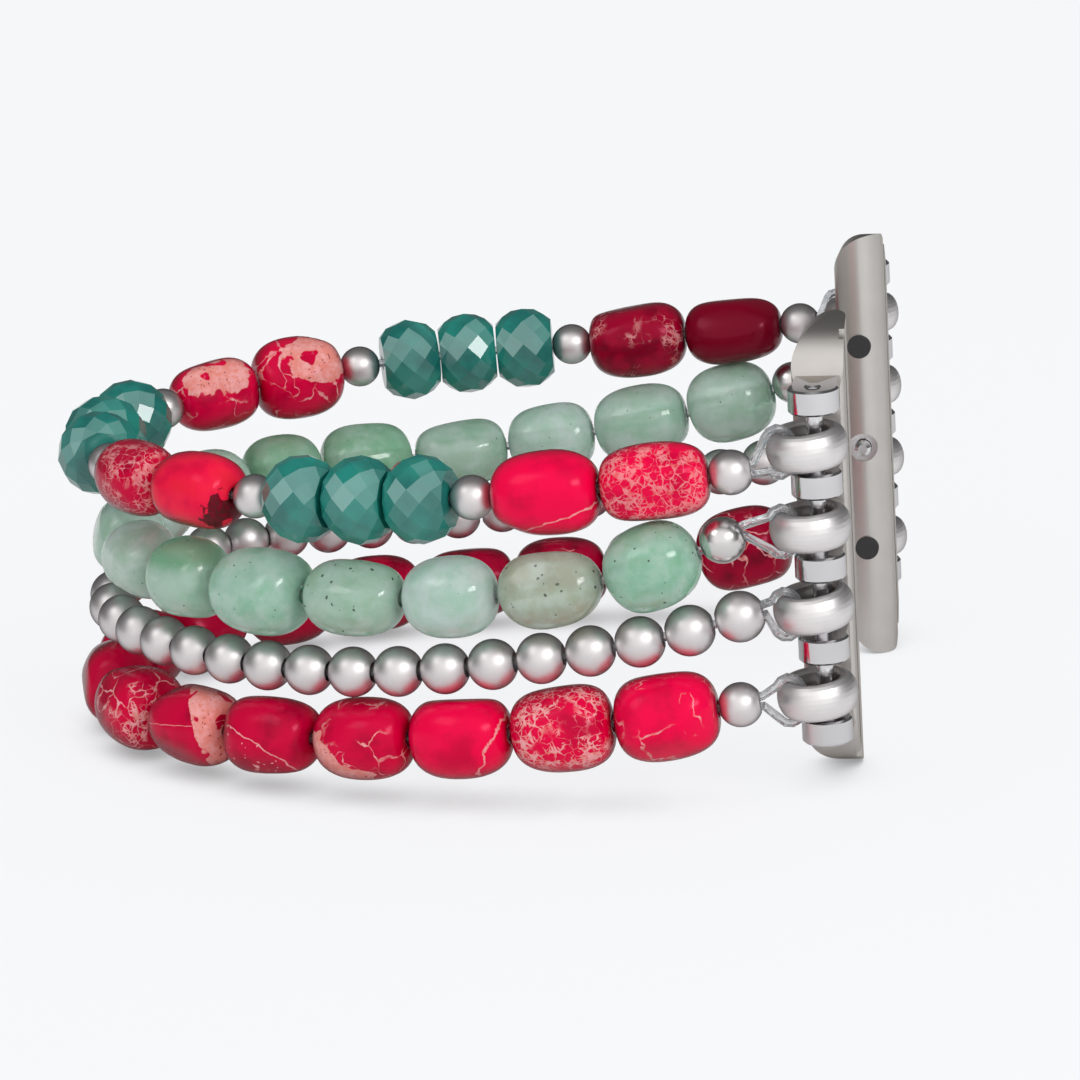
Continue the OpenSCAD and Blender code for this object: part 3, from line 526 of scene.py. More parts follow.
@dataclass(frozen=True)
class AventurineFinish:
    """Pale green quartz: clouded, half clear, with dark specks inside, and painted light that pales it toward
    its silhouette.

    stone_look holds green, olive and specks, and stone_patch points to a greener side.
    """

    name: str
    pale: Colour = shade_of(222, 242, 236)
    deep: Colour = shade_of(140, 206, 168)
    olive: Colour = shade_of(190, 194, 172)
    speck: Colour = shade_of(44, 60, 50)
    # Painted light: the pale colour painted toward each stone's silhouette, a painted sheen.
    painted_rim_colour: Colour = shade_of(216, 236, 228)

    cloud_drift: Pair = (0.4, 1.5)
    cloud_scale: float = 0.5
    clouded: Curve = (0.35, 0.7, 0.0, 0.45)
    greener: Curve = (0.45, 0.8, 0.0, 0.75)
    olive_spread: Curve = (0.3, 0.6, 0.5, 1.0)
    wisp_drift: Pair = (0.8, 1.0)
    wisp_scale: float = 1.1
    wisped: Curve = (0.54, 0.72, 0.0, 0.25)
    speck_region: float = 0.7
    speck_size: Curve = (0.42, 0.6, 0.03, 0.15)
    speck_drift: Pair = (3.0, 0.3)
    speck_scale: float = 1.5
    speck_share: float = 0.8
    painted_rim_blend: float = 0.25
    painted_rim_share: Curve = (0.8, 0.97, 0.0, 0.8)
    rough: Curve = (0.3, 0.7, 0.07, 0.14)
    glow_reach: Triple = (1.4 * MM, 2.0 * MM, 1.8 * MM)
    relief: float = 0.08
    relief_depth: float = 0.06 * MM

    def material(self) -> Material:
        """Builds the material."""
        material, graph = new_graph(self.name)
        place = graph.stone("stone_place")
        green, olive, specks = graph.parts(graph.stone("stone_look"))
        cloud = graph.level(graph.drift(place, *self.cloud_drift), self.cloud_scale, 4.0, 0.55)
        wisp = graph.level(graph.drift(place, *self.wisp_drift), self.wisp_scale, 4.0, 0.65)
        side = graph.dot(graph.stone("stone_local"), graph.stone("stone_patch"))
        shade = graph.math("ADD", graph.ramp(cloud, *self.clouded), green)
        shade = graph.math("ADD", shade, graph.ramp(side, *self.greener))
        body = graph.mix(graph.math("MINIMUM", shade, 1.0), self.pale, self.deep)
        olive = graph.math("MULTIPLY", olive, graph.ramp(cloud, *self.olive_spread))
        body = graph.mix(olive, body, self.olive)
        body = graph.mix(graph.ramp(wisp, *self.wisped), body, self.pale)
        size = graph.ramp(graph.level(place, self.speck_region), *self.speck_size)
        size = graph.math("MULTIPLY", size, specks)
        spots = graph.dots(graph.drift(place, *self.speck_drift), self.speck_scale, size)
        body = graph.mix(graph.math("MULTIPLY", spots, self.speck_share), body, self.speck)
        # Painted light: Layer Weight pales the colour toward the silhouette.
        painted_rim_share = graph.ramp(graph.facing(self.painted_rim_blend), *self.painted_rim_share)
        graph.finish(graph.add("BsdfPrincipled", {
            "Base Color": graph.mix(painted_rim_share, body, self.painted_rim_colour),
            "Roughness": graph.ramp(wisp, *self.rough),
            "IOR": 1.54,
            "Transmission Weight": 0.4,
            "Subsurface Weight": 0.6,
            "Subsurface Radius": self.glow_reach,
            "Subsurface Scale": 1.0,
            "Normal": graph.bump(cloud, self.relief, self.relief_depth),
        }))
        return material


@dataclass(frozen=True)
class CutGlassFinish:
    """Opaque teal glass with polished facets; painted reflections make the facets palest where they face one
    of two directions near the lamps.

    Such a direction is an azimuth and an elevation, in degrees.
    """

    name: str
    colour: Colour = shade_of(34, 134, 122)
    dark: Colour = shade_of(20, 104, 98)
    # Painted reflection: the pale colour of facets that face a lamp.
    painted_glint_colour: Colour = shade_of(140, 182, 176)
    swirl_scale: float = 300.0
    swirled: Curve = (0.35, 0.65, 0.0, 1.0)
    right_glint_way: Pair = (30.0, 38.0)
    right_painted_glint: Curve = (0.86, 0.99, 0.0, 0.5)
    left_glint_way: Pair = (-26.0, 24.0)
    left_painted_glint: Curve = (0.9, 0.99, 0.0, 0.7)
    rough: Curve = (0.3, 0.7, 0.06, 0.1)

    def material(self) -> Material:
        """Builds the material."""
        material, graph = new_graph(self.name)
        swirl = graph.level(graph.add("TexCoord").outputs["Object"], self.swirl_scale, 3.0)
        # Painted reflection: facets turned toward either direction are painted pale, by their true normal.
        way = graph.add("NewGeometry").outputs["True Normal"]
        right = graph.ramp(graph.dot(way, tuple(toward(*self.right_glint_way))), *self.right_painted_glint)
        left = graph.ramp(graph.dot(way, tuple(toward(*self.left_glint_way))), *self.left_painted_glint)
        body = graph.mix(graph.ramp(swirl, *self.swirled), self.colour, self.dark)
        graph.finish(graph.add("BsdfPrincipled", {
            "Base Color": graph.mix(graph.math("MAXIMUM", right, left), body, self.painted_glint_colour),
            "Roughness": graph.ramp(swirl, *self.rough),
            "IOR": 1.62,
            "Specular IOR Level": 0.6,
        }))
        return material


@dataclass(frozen=True)
class ClearCordFinish:
    """Clear elastic cord, whose fine filaments show as streaks along the doubled legs.

    The legs run inward towards the pin at the pull angle, so the streaks vary only across that direction.
    """

    name: str
    tint: Colour = (0.93, 0.94, 0.96)
    shadow: Colour = (0.7, 0.72, 0.75)
    pull_angle: float = 24.41
    streaks: float = 6500.0
    upward: float = 0.06
    streaked: Curve = (0.45, 0.6, 0.0, 1.0)
    rough: Curve = (0.3, 0.7, 0.03, 0.09)
    relief: float = 0.5
    relief_depth: float = 0.08 * MM

    def material(self) -> Material:
        """Builds the material."""
        material, graph = new_graph(self.name)
        along, aside, up = graph.parts(graph.add("TexCoord").outputs["Object"])
        pull = math.radians(self.pull_angle)
        across = graph.math("ADD", graph.math("MULTIPLY", graph.math("ABSOLUTE", aside), math.cos(pull)),
                            graph.math("MULTIPLY", along, math.sin(pull)))
        place = graph.add("CombineXYZ", {0: across, 1: graph.math("MULTIPLY", up, self.upward)}).outputs[0]
        streak = graph.level(place, self.streaks, 1.0)
        graph.finish(graph.add("BsdfPrincipled", {
            "Base Color": graph.mix(graph.ramp(streak, *self.streaked), self.tint, self.shadow),
            "Roughness": graph.ramp(streak, *self.rough),
            "IOR": 1.48,
            "Transmission Weight": 0.85,
            "Normal": graph.bump(streak, self.relief, self.relief_depth),
        }))
        return material


@dataclass(frozen=True)
class RubberFinish:
    """Matt black rubber."""

    name: str
    colour: Colour = shade_of(34, 34, 36)
    worn: Colour = shade_of(52, 52, 54)
    grain_scale: float = 5000.0
    rough: Curve = (0.3, 0.7, 0.55, 0.75)
    relief: float = 0.2
    relief_depth: float = 0.03 * MM

    def material(self) -> Material:
        """Builds the material."""
        material, graph = new_graph(self.name)
        grain = graph.level(graph.add("TexCoord").outputs["Object"], self.grain_scale, 3.0)
        graph.finish(graph.add("BsdfPrincipled", {
            "Base Color": graph.mix(grain, self.colour, self.worn),
            "Roughness": graph.ramp(grain, *self.rough),
            "Normal": graph.bump(grain, self.relief, self.relief_depth),
        }))
        return material


@dataclass
class Finishes:
    """Every finish of the strap, built once."""

    bead: Material = field(init=False)
    bright_bead: Material = field(init=False)
    ring: Material = field(init=False)
    painted_shade_bore: Material = field(init=False)
    bar: Material = field(init=False)
    knuckle: Material = field(init=False)
    pin: Material = field(init=False)
    jasper: Material = field(init=False)
    aventurine: Material = field(init=False)
    glass: Material = field(init=False)
    cord: Material = field(init=False)
    rubber: Material = field(init=False)

    def __post_init__(self) -> None:
        """Builds the materials."""
        # The satin bead and ring steels carry painted shade toward their silhouettes.
        self.bead = SteelFinish("satin_bead_steel", (0.8, 0.77, 0.78), 0.44, painted_rim_shade=0.6).material()
        self.bright_bead = SteelFinish("bright_bead_steel", (0.76, 0.75, 0.745), 0.24).material()
        self.ring = SteelFinish("ring_steel", (0.88, 0.862, 0.865), 0.46, painted_rim_shade=0.35).material()
        # Painted shade: a dark steel for the inside of each ring's hole, where shade falls.
        self.painted_shade_bore = SteelFinish("painted_shade_bore_steel", (0.3, 0.29, 0.285), 0.45).material()
        self.bar = SteelFinish("bar_steel", (0.64, 0.615, 0.59), 0.34).material()
        self.knuckle = SteelFinish("knuckle_steel", (0.74, 0.735, 0.75), 0.13).material()
        self.pin = SteelFinish("pin_steel", (0.8, 0.8, 0.81), 0.14).material()
        self.jasper = JasperFinish("dyed_jasper").material()
        self.aventurine = AventurineFinish("green_aventurine").material()
        self.glass = CutGlassFinish("teal_cut_glass").material()
        self.cord = ClearCordFinish("clear_elastic").material()
        self.rubber = RubberFinish("grip_rubber").material()


@dataclass(frozen=True)
class StoneLook:
    """One tumbled stone's own shape and colour pattern.

    The stone's own directions are along the cord, outward and up.

    Attributes:
        look: Cracks, foam and depth of a jasper, or green, olive and specks of an aventurine.
        patch: Points to the side that a patch covers; its length sets how much.
        tint: Orange and burnt shares of a jasper, and how far its patch is freckled, not filled.
        full: How round the stone is, from 0.4 for square to 1 for an ellipsoid.
        flats: How many flats tumbling has left.
        lean: How far its top leans along the cord.
        vein: Points to the stone's one long vein; the longer it is, the nearer the vein lies to the middle.
        ragged: How far blotches reach out of its patch.
        web: How pale its web is, from 0 to 1.
    """

    look: Triple = (0.0, 0.0, 0.0)
    patch: Triple = (0.0, 0.0, 0.0)
    tint: Triple = (0.0, 0.0, 0.0)
    full: float = 0.6
    flats: int = 5
    lean: float = 0.0
    vein: Triple = (0.0, 0.0, 0.0)
    ragged: float = 0.3
    web: float = 1.0


CARRIED = ("stone_place", "stone_local", "stone_look", "stone_patch", "stone_tint", "stone_vein",
           "stone_edge")


@dataclass
class TumbledStones:
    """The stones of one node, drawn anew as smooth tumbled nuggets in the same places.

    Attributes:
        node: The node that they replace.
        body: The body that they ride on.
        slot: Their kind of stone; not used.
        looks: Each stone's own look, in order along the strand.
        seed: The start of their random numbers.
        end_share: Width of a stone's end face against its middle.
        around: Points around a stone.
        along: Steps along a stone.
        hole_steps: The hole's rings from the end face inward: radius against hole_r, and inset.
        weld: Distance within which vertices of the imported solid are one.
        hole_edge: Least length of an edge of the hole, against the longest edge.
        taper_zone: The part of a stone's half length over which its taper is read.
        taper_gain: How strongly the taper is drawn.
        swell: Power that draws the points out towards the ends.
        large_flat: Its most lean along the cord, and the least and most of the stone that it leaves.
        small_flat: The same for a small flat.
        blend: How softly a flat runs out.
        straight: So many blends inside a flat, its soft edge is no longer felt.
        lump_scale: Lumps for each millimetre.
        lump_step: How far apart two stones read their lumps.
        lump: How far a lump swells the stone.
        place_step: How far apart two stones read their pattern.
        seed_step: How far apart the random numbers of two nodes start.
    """

    node: str
    body: str
    slot: str
    looks: Sequence[StoneLook]
    seed: int
    end_share: float
    around: int = 44
    along: int = 24
    hole_r: float = 0.58 * MM
    hole_steps: tuple[Pair, ...] = ((1.15, 0.0), (1.0, 0.06 * MM), (0.96, 0.5 * MM))
    weld: float = 0.0001 * MM
    hole_edge: float = 0.97
    taper_zone: Pair = (0.2, 0.95)
    taper_gain: float = 1.6
    swell: float = 0.85
    large_flat: Triple = (0.12, 0.95, 0.985)
    small_flat: Triple = (0.75, 0.9, 0.97)
    blend: float = 0.16 * MM
    straight: float = 30.0
    lump_scale: float = 0.3
    lump_step: float = 5.0
    lump: float = 0.012
    place_step: Triple = (13.7, 7.3, 3.1)
    seed_step: int = 100

    def islands(self) -> list[list[Vector]]:
        """Finds each solid in the node.

        Returns:
            One list for each stone: the start and end of its cord hole, then its vertices.
        """
        mesh = bmesh.new()
        mesh.from_mesh(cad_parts[self.node].data)
        bmesh.ops.remove_doubles(mesh, verts=mesh.verts, dist=self.weld)
        mesh.verts.index_update()
        mesh.edges.index_update()
        left = set(mesh.verts)
        stones = []
        while left:
            group, stack = set(), [next(iter(left))]
            while stack:
                vert = stack.pop()
                if vert in group:
                    continue
                group.add(vert)
                stack.extend(edge.other_vert(vert) for edge in vert.link_edges)
            left -= group
            edges = sorted({edge for vert in group for edge in vert.link_edges}, key=lambda edge: edge.index)
            places = [vert.co.copy() for vert in sorted(group, key=lambda vert: vert.index)]
            stones.append(self.hole_ends(edges) + places)
        mesh.free()
        return stones

    def hole_ends(self, edges: Sequence[bmesh.types.BMEdge]) -> list[Vector]:
        """Finds the two ends of a stone's hole, whose edges are the stone's longest.

        Args:
            edges: The stone's edges.

        Returns:
            The middles of the two ends.
        """
        longest = max(edge.calc_length() for edge in edges)
        hole = [edge for edge in edges if edge.calc_length() > self.hole_edge * longest]
        way = hole[0].verts[1].co - hole[0].verts[0].co
        ends = [Vector(), Vector()]
        for edge in hole:
            first, second = (vert.co for vert in edge.verts)
            if (second - first).dot(way) < 0:
                first, second = second, first
            ends[0] += first / len(hole)
            ends[1] += second / len(hole)
        return ends

    def ordered(self) -> list[list[Vector]]:
        """Puts the node's stones in order along the strand, from the rear column or the flex column.

        Returns:
            The stones, each with the start of its hole first.
        """
        way = Vector((0.0, -1.0, 0.0)) if self.body == "strap_middle" else Vector((1.0, 0.0, 0.0))
        stones = sorted(self.islands(), key=lambda stone: (stone[0] + stone[1]).dot(way))
        for stone in stones:
            if (stone[1] - stone[0]).dot(way) < 0:
                stone[0], stone[1] = stone[1], stone[0]
        return stones

    @staticmethod
    def seat(stone: Sequence[Vector]) -> tuple[Vector, Matrix, Vector]:
        """Reads a packed stone's place, directions and size.

        Args:
            stone: The ends of its hole, then its vertices.

        Returns:
            Its middle, the turn to its own directions, and half its length, width and height.
        """
        middle = (stone[0] + stone[1]) / 2
        along = (stone[1] - stone[0]).normalized()
        out = along.cross(UP).normalized()
        if out.dot(Vector((middle.x, middle.y, 0.0))) < 0:
            out = -out
        up = out.cross(along).normalized()
        if up.z < 0:
            up = -up
        size = Vector(((stone[1] - stone[0]).length / 2,
                       max(abs((point - middle).dot(out)) for point in stone[2:]),
                       max(abs((point - middle).dot(up)) for point in stone[2:])))
        return middle, Matrix((along, out, up)).transposed(), size

    def build(self) -> bpy.types.Object:
        """Builds the stones as one object.

        Returns:
            The new object.
        """
        verts: list[Vector] = []
        faces: list[tuple[int, ...]] = []
        carried: dict[str, list[float]] = {name: [] for name in CARRIED}
        for index, stone in enumerate(self.ordered()):
            look = self.looks[index % len(self.looks)]
            middle, turn, size = self.seat(stone)
            taper = self.taper([point - middle for point in stone[2:]], turn.col[0], size.x)
            points, quads = self.stone(index, size, taper, look)
            base = len(verts)
            verts.extend(middle + turn @ point for point in points)
            faces.extend(tuple(base + corner for corner in quad) for quad in quads)
            shift = Vector(self.place_step) * (self.seed + index)
            edge = (look.ragged, look.web, 0.0)
            for point in points:
                local = (point.x / size.x, point.y / size.y, point.z / size.z)
                rows = (point / MM + shift, local, look.look, look.patch, look.tint, look.vein, edge)
                for name, row in zip(CARRIED, rows, strict=True):
                    carried[name].extend(row)
        mesh = bpy.data.meshes.new(self.node + "_stones")
        mesh.from_pydata(verts, [], faces)
        for name, values in carried.items():
            mesh.attributes.new(name, "FLOAT_VECTOR", "POINT").data.foreach_set("vector", values)
        mesh.shade_smooth()
        shaped = bmesh.new()
        shaped.from_mesh(mesh)
        bmesh.ops.recalc_face_normals(shaped, faces=shaped.faces)
        shaped.to_mesh(mesh)
        shaped.free()
        shape = bpy.data.objects.new(self.node + "_stones", mesh)
        bpy.context.scene.collection.objects.link(shape)
        return shape

    def taper(self, points: Sequence[Vector], along: Vector, half: float) -> float:
        """How much wider one end of a packed stone is than the other.

        Args:
            points: Its vertices about its middle.
            along: The cord's direction.
            half: Half its length.

        Returns:
            The taper as a share, positive where the far end is wider.
        """
        near, far = self.taper_zone
        sums = {1: 0.0, -1: 0.0}
        for point in points:
            share = point.dot(along) / half
            if near < abs(share) < far:
                sums[1 if share > 0 else -1] += (point - along * point.dot(along)).length
        return (sums[1] - sums[-1]) / max(sums[1] + sums[-1], TINY) * self.taper_gain

    def stone(self, index: int, size: Vector, taper: float,
              look: StoneLook) -> tuple[list[Vector], list[tuple[int, ...]]]:
        """Shapes one stone about the origin, its hole along X.

        Args:
            index: The stone's place along the strand.
            size: Half its length, width and height.
            taper: How much wider its far end is.
            look: Its own shape and pattern.

        Returns:
            Its points and faces.
        """
        draw = random.Random(self.seed * self.seed_step + index)
        last = math.acos(self.end_share ** (1 / look.full))
        points = []
        for step in range(self.along + 1):
            share = 2 * step / self.along - 1
            lift = abs(math.sin(last * share) / math.sin(last)) ** self.swell
            reach = math.copysign(lift, share)
            radius = math.cos(last * share) ** look.full * (1 - abs(taper) + taper * reach)
            for turn in range(self.around):
                angle = 2 * math.pi * turn / self.around
                points.append(Vector((size.x * reach, radius * size.y * math.cos(angle),
                                      radius * size.z * math.sin(angle))))
        self.flatten(points, draw, look.flats, self.large_flat)
        self.flatten(points, draw, look.flats // 2, self.small_flat)
        wide = size.y / max(abs(point.y) for point in points)
        tall = size.z / max(abs(point.z) for point in points)
        for point in points:
            point.y *= wide
            point.z *= tall
            spot = point / MM * self.lump_scale + Vector((self.seed, index * self.lump_step, 0.0))
            point *= 1 + self.lump * noise.noise(spot)
            point.x += look.lean * point.z * (1 - min(abs(point.x / size.x), 1.0) ** 2)
        loops = [points[ring * self.around:(ring + 1) * self.around] for ring in range(self.along + 1)]
        loops = self.hole(loops[0], -1)[::-1] + loops + self.hole(loops[-1], 1)
        return [point for ring in loops for point in ring], self.skin(len(loops))

    def skin(self, count: int) -> list[tuple[int, ...]]:
        """Lays faces between rings of points, round and through the hole back to the first ring.

        Args:
            count: How many rings there are.

        Returns:
            The faces.
        """
        quads = []
        for ring in range(count):
            following = (ring + 1) % count
            for turn in range(self.around):
                across = (turn + 1) % self.around
                quads.append((ring * self.around + turn, ring * self.around + across,
                              following * self.around + across, following * self.around + turn))
        return quads

    def flatten(self, points: list[Vector], draw: random.Random, count: int, limits: Triple) -> None:
        """Presses soft flats into a stone.

        Args:
            points: The stone's points, moved in place.
            draw: The stone's own random numbers.
            count: How many flats.
            limits: Their most lean along the cord, and the least and most of the stone that they leave.
        """
        lean, least, most = limits
        for _ in range(count):
            way = Vector((draw.uniform(-lean, lean), draw.gauss(0, 1), draw.gauss(0, 1))).normalized()
            reach = max(point.dot(way) for point in points) * draw.uniform(least, most)
            for point in points:
                over = (point.dot(way) - reach) / self.blend
                soft = over if over > self.straight else math.log1p(math.exp(over))
                point -= way * self.blend * soft

    def hole(self, edge: Sequence[Vector], direction: int) -> list[list[Vector]]:
        """Rings of the drilled hole at one end of a stone.

        Args:
            edge: The stone's end ring.
            direction: Which end it is, 1 or -1 along X.

        Returns:
            The rings, from the end face inward.
        """
        depth = sum(point.x for point in edge) / len(edge)
        rings = []
        for wide, inset in self.hole_steps:
            rings.append([Vector((depth - direction * inset,
                                  wide * self.hole_r * math.cos(2 * math.pi * turn / self.around),
                                  wide * self.hole_r * math.sin(2 * math.pi * turn / self.around)))
                          for turn in range(self.around)])
        return rings

    def dress(self, shape: bpy.types.Object, finish: Material) -> None:
        """Gives the stones their finish and body, and hides the node that they replace.

        Args:
            shape: The built stones.
            finish: Their finish.
        """
        shape.data.materials.append(finish)
        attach(shape, self.body)
        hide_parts(self.node)
        LOG.info("stones of %s", self.node)


def dress_node(node: str, *materials: Material) -> bpy.types.Object:
    """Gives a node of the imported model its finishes.

    Args:
        node: The node's name.
        materials: Its finishes; every face takes the first.

    Returns:
        The node's object.
    """
    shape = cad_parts[node]
    shape.data.materials.clear()
    for material in materials:
        shape.data.materials.append(material)
    LOG.info("dressed %s", node)
    return shape


@dataclass
class StrandGroup:
    """The beads and cords of one body."""

    prefix: str
    finishes: Finishes

    def dress(self) -> None:
        """Dresses the glass and metal beads and the cords."""
        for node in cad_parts:
            if not node.startswith(self.prefix):
                continue
            if "teal" in node:
                dress_node(node, self.finishes.glass)
            elif "cord" in node:
                dress_node(node, self.finishes.cord)
            elif "green_end_bead" in node:
                dress_node(node, self.finishes.bright_bead)
            elif "end_bead" in node or "spacer" in node or "silver" in node:
                dress_node(node, self.finishes.bead)


@dataclass
class Connector:
    """One slide-in connector with its pin, rings, catch and pads."""

    side: Side
    finishes: Finishes
    polish_reach: float = 1.95 * MM
    painted_shade_bore_reach: float = 1.67 * MM

    def dress(self) -> None:
        """Dresses the connector's parts."""
        side = self.side.value
        bar = dress_node(f"{side}_slide_bar", self.finishes.bar, self.finishes.knuckle)
        low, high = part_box(f"{side}_hinge_pin")
        axis = (Vector(low) + Vector(high)) / 2
        self.refinish(bar, axis, UP, self.polish_reach)
        for number in RING_NUMBERS:
            # The faces near each ring's axis take the dark bore steel, painted shade inside the hole.
            ring = dress_node(f"{side}_ring_{number}", self.finishes.ring, self.finishes.painted_shade_bore)
            self.refinish(ring, *self.ring_axis(ring), self.painted_shade_bore_reach)
        for part in ("hinge_pin", "catch_collar", "catch_button", "catch_spring"):
            dress_node(f"{side}_{part}", self.finishes.pin)
        dress_node(f"{side}_grip_pads", self.finishes.rubber)

    @staticmethod
    def ring_axis(ring: bpy.types.Object) -> tuple[Vector, Vector]:
        """Finds a ring's own axis, which is the way that its points spread least.

        Args:
            ring: The ring's object.

        Returns:
            Its middle and the axis.
        """
        points = np.array([ring.matrix_world @ vert.co for vert in ring.data.vertices])
        middle = points.mean(axis=0)
        _, ways = np.linalg.eigh(np.cov((points - middle).T))
        return Vector(middle), Vector(ways[:, 0])

    @staticmethod
    def refinish(shape: bpy.types.Object, point: Vector, axis: Vector, reach: float) -> None:
        """Gives the faces near an axis the node's second finish.

        Args:
            shape: The node's object.
            point: A point on the axis.
            axis: The axis's direction.
            reach: How far from it the second finish goes.
        """
        for face in shape.data.polygons:
            arm = shape.matrix_world @ face.center - point
            if arm.cross(axis).length < reach:
                face.material_index = 1


RED = "red_stone"
GREEN = "green_stone"
DEEP_RED = "deep_red_stone"
FIRST_SEED = 3
END_SHARES = {RED: 0.32, GREEN: 0.2, DEEP_RED: 0.28}
STONE_SETS: dict[str, tuple[str, str, tuple[StoneLook, ...]]] = {
    "front_red_nuggets": (RED, "front_run", (
        StoneLook(look=(0.05, 0.0, 0.0), full=0.6, vein=(0.6, 0.0, -1.75)),
        StoneLook(look=(0.0, 0.62, 0.05), full=0.54, web=0.6),
    )),
    "rear_red_nuggets": (RED, "rear_run", (
        StoneLook(look=(0.3, 0.46, 0.8), full=0.62, web=0.6),
        StoneLook(look=(0.1, 0.0, 1.0), full=0.62),
    )),
    "middle_red_nuggets": (RED, "strap_middle", (
        StoneLook(look=(0.5, 0.1, 0.3), patch=(-0.4, -0.9, 1.0)),
        StoneLook(look=(0.45, 0.0, 0.25), patch=(0.2, -0.8, 1.0)),
        StoneLook(look=(0.4, 0.6, 0.45), web=0.7),
        StoneLook(look=(0.2, 0.1, 0.0), patch=(1.0, 0.3, -0.4), tint=(0.35, 1.0, 0.0)),
    )),
    "front_green_nuggets": (GREEN, "front_run", (
        StoneLook(look=(0.3, 0.25, 1.3), full=0.72),
        StoneLook(look=(0.0, 0.05, 0.3), full=0.8),
        StoneLook(look=(0.1, 0.9, 1.3), full=1.0),
        StoneLook(look=(0.42, 0.0, 1.0), full=0.92, lean=0.1, flats=0),
    )),
    "rear_green_nuggets": (GREEN, "rear_run", (
        StoneLook(look=(0.25, 0.2, 0.6), full=0.66),
        StoneLook(look=(0.05, 0.1, 0.6), full=0.7),
        StoneLook(look=(0.15, 0.1, 0.6), full=0.66),
        StoneLook(look=(0.2, 0.15, 0.6), full=0.7),
    )),
    "middle_green_nuggets": (GREEN, "strap_middle", (
        StoneLook(look=(0.6, 0.15, 0.5), full=0.66),
        StoneLook(look=(0.7, 0.2, 0.5), full=0.66),
        StoneLook(look=(0.3, 0.1, 0.5), full=0.66),
        StoneLook(look=(0.1, 0.1, 0.5), full=0.66),
        StoneLook(look=(0.1, 0.2, 0.6), full=0.66),
        StoneLook(look=(0.05, 0.25, 0.5), full=0.66),
        StoneLook(look=(0.35, 0.2, 0.9), full=0.66, patch=(0.0, 0.2, 1.0)),
        StoneLook(look=(0.3, 0.0, 0.7), full=0.64),
    )),
    "front_big_red_nuggets": (DEEP_RED, "front_run", (
        StoneLook(look=(0.45, 0.0, 0.3), patch=(-1.15, 0.7, -1.4), ragged=2.8),
        StoneLook(look=(0.1, 0.0, 0.0), full=0.66, vein=(1.3, 0.0, -0.6)),
        StoneLook(look=(0.0, 0.58, 0.15), full=0.58),
        StoneLook(look=(0.42, 0.05, 0.0), full=0.6),
    )),
    "rear_big_red_nuggets": (DEEP_RED, "rear_run", (
        StoneLook(look=(0.2, 0.0, 0.7)),
        StoneLook(look=(0.4, 0.2, 0.7)),
        StoneLook(look=(0.2, 0.0, 0.8)),
        StoneLook(look=(0.5, 0.3, 0.7)),
    )),
    "middle_big_red_nuggets": (DEEP_RED, "strap_middle", (
        StoneLook(look=(0.2, 0.0, 0.6)),
        StoneLook(look=(0.3, 0.2, 0.6)),
        StoneLook(look=(0.2, 0.0, 0.6)),
        StoneLook(look=(0.2, 0.0, 0.5)),
        StoneLook(look=(0.3, 0.0, 0.45)),
        StoneLook(look=(0.7, 0.42, 0.35)),
        StoneLook(look=(0.1, 0.0, 0.4), patch=(3.72, -2.17, 0.9), vein=(-0.5, 0.0, 5.0)),
        StoneLook(look=(0.15, 0.0, 0.4), patch=(-1.18, 1.31, -1.83), tint=(0.0, 0.0, 1.0),
                  vein=(-1.18, 1.31, -1.83), ragged=0.0),
    )),
}


@dataclass(frozen=True)
class Lamp:
    """One soft box that faces the object."""

    name: str
    azimuth: float
    elevation: float
    distance: float
    size: Pair
    power: float

    def build(self, target: Vector) -> None:
        """Makes the lamp.

        Args:
            target: The point that it faces.
        """
        data = bpy.data.lights.new(self.name, "AREA")
        data.shape = "RECTANGLE"
        data.size, data.size_y = self.size
        data.energy = self.power
        lamp = bpy.data.objects.new(self.name, data)
        bpy.context.scene.collection.objects.link(lamp)
        back = toward(self.azimuth, self.elevation)
        lamp.location = target + back * self.distance
        lamp.rotation_euler = (-back).to_track_quat("-Z", "Y").to_euler()


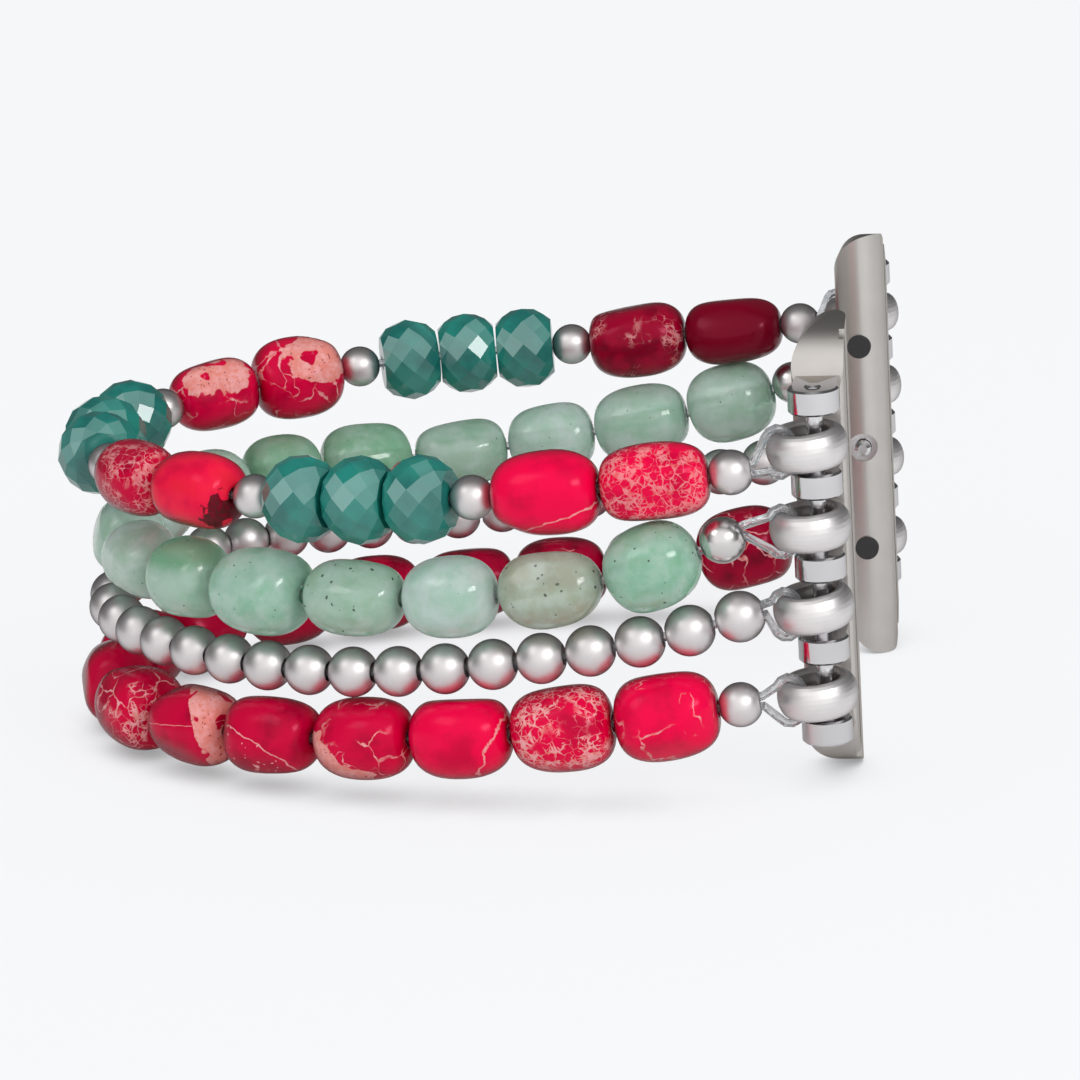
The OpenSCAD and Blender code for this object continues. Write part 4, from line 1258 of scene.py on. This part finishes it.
@dataclass
class Studio:
    """Camera, lamps, floor and surroundings, at the photograph's angle.

    Angles are in degrees and the sensor is in millimetres.

    Attributes:
        glow: How far the floor glows towards the camera.
        shaded: Strength of that glow, from closed in to open; ambient occlusion dims it near the strap, a
            painted contact shadow.
        bright_way: Azimuth and elevation of the brightest surroundings.
        brightened: Brightness of reflections towards there.
        ambient: The surroundings that light the object.
    """

    target: Vector = field(default_factory=lambda: Vector((5.2285, 0.0, 13.02)) * MM)
    azimuth: float = 10.03
    elevation: float = 15.27
    distance: float = 346.66 * MM
    view_angle: float = 13.417
    roll: float = 3.44
    sensor: float = 36.0
    clip: Pair = (0.01, 20.0)
    backdrop: Colour = shade_of(250, 251, 253)
    floor_tone: Colour = (0.8, 0.8, 0.8)
    floor_half: float = 3.0
    floor_drop: float = 0.01 * MM
    glow: float = 0.86
    shadow_reach: float = 6.0 * MM
    shadow_samples: int = 12
    shaded: Curve = (0.0, 0.78, 0.36, 1.0)
    bright_way: Pair = (6.0, 18.0)
    brightened: Curve = (0.3, 0.97, 0.1, 1.18)
    unlit: Colour = (0.0, 0.0, 0.0)
    mirrored: Colour = (1.0, 0.985, 0.97)
    ambient: Colour = (0.8, 0.805, 0.81)
    lamps: tuple[Lamp, ...] = (
        Lamp("key_lamp", 46.0, 31.0, 0.5, (0.22, 0.11), 0.62),
        Lamp("fill_lamp", -48.0, 46.0, 0.6, (0.22, 0.22), 0.3),
    )

    def build(self) -> None:
        """Makes the camera, the lamps, the floor and the world."""
        self.camera()
        for lamp in self.lamps:
            lamp.build(self.target)
        self.floor()
        self.world()
        bpy.context.scene.view_settings.view_transform = "Standard"

    def camera(self) -> None:
        """Makes the camera at the photograph's place."""
        data = bpy.data.cameras.new("camera")
        data.sensor_width = self.sensor
        data.lens = self.sensor / 2 / math.tan(math.radians(self.view_angle) / 2)
        data.clip_start, data.clip_end = self.clip
        camera = bpy.data.objects.new("camera", data)
        bpy.context.scene.collection.objects.link(camera)
        back = toward(self.azimuth, self.elevation)
        camera.location = self.target + back * self.distance
        facing = (-back).to_track_quat("-Z", "Y").to_matrix()
        camera.rotation_euler = (facing @ Matrix.Rotation(math.radians(-self.roll), 3, "Z")).to_euler()
        bpy.context.scene.camera = camera

    def floor(self) -> None:
        """Makes the plain pale floor, which glows a little towards the camera like a lit paper sweep, with a
        painted contact shadow where ambient occlusion dims the glow near the strap.
        """
        half = self.floor_half
        corners = [(-half, -half, 0), (half, -half, 0), (half, half, 0), (-half, half, 0)]
        mesh = bpy.data.meshes.new("floor")
        mesh.from_pydata(corners, [], [(0, 1, 2, 3)])
        floor = bpy.data.objects.new("floor", mesh)
        floor.location.z = -self.floor_drop
        bpy.context.scene.collection.objects.link(floor)
        material, graph = new_graph("pale_floor")
        paper = graph.add("BsdfDiffuse", {"Color": self.floor_tone})
        reach = {"Distance": self.shadow_reach}
        # Painted shadow: ambient occlusion dims the floor's glow near the strap.
        near = graph.add("AmbientOcclusion", reach, samples=self.shadow_samples).outputs["AO"]
        strength = graph.ramp(near, *self.shaded)
        lit = graph.add("Emission", {"Color": self.backdrop, "Strength": strength})
        seen = graph.math("MULTIPLY", graph.add("LightPath").outputs["Is Camera Ray"], self.glow)
        graph.finish(graph.add("MixShader", {0: seen, 1: paper.outputs[0], 2: lit.outputs[0]}))
        mesh.materials.append(material)

    def world(self) -> None:
        """Makes the pale surroundings, brightest behind the camera in what metal and glass reflect."""
        world = bpy.data.worlds.new("surroundings")
        bpy.context.scene.world = world
        world.use_nodes = True
        graph = Graph(world.node_tree)
        way = graph.add("TexCoord").outputs["Generated"]
        near = graph.ramp(graph.dot(way, tuple(toward(*self.bright_way))), *self.brightened)
        reflected = graph.mix(near, self.unlit, self.mirrored)
        path = graph.add("LightPath")
        colour = graph.mix(path.outputs["Is Glossy Ray"], self.ambient, reflected)
        colour = graph.mix(path.outputs["Is Camera Ray"], colour, self.backdrop)
        background = graph.add("Background", {"Color": colour, "Strength": 1.0})
        output = graph.add("OutputWorld")
        graph.tree.links.new(background.outputs[0], output.inputs["Surface"])


def main() -> None:
    """Builds and dresses the strap, then sets up the studio."""
    logging.basicConfig(level=logging.INFO, format="%(name)s: %(message)s")
    finishes = Finishes()
    for seed, (node, (slot, body, looks)) in enumerate(STONE_SETS.items(), FIRST_SEED):
        stones = TumbledStones(node, body, slot, looks, seed, END_SHARES[slot])
        stones.dress(stones.build(), finishes.aventurine if slot == GREEN else finishes.jasper)
    for prefix in ("middle_", "front_", "rear_"):
        StrandGroup(prefix, finishes).dress()
    for side in Side:
        Connector(side, finishes).dress()
    Studio().build()


if __name__ == "__main__":
    main()
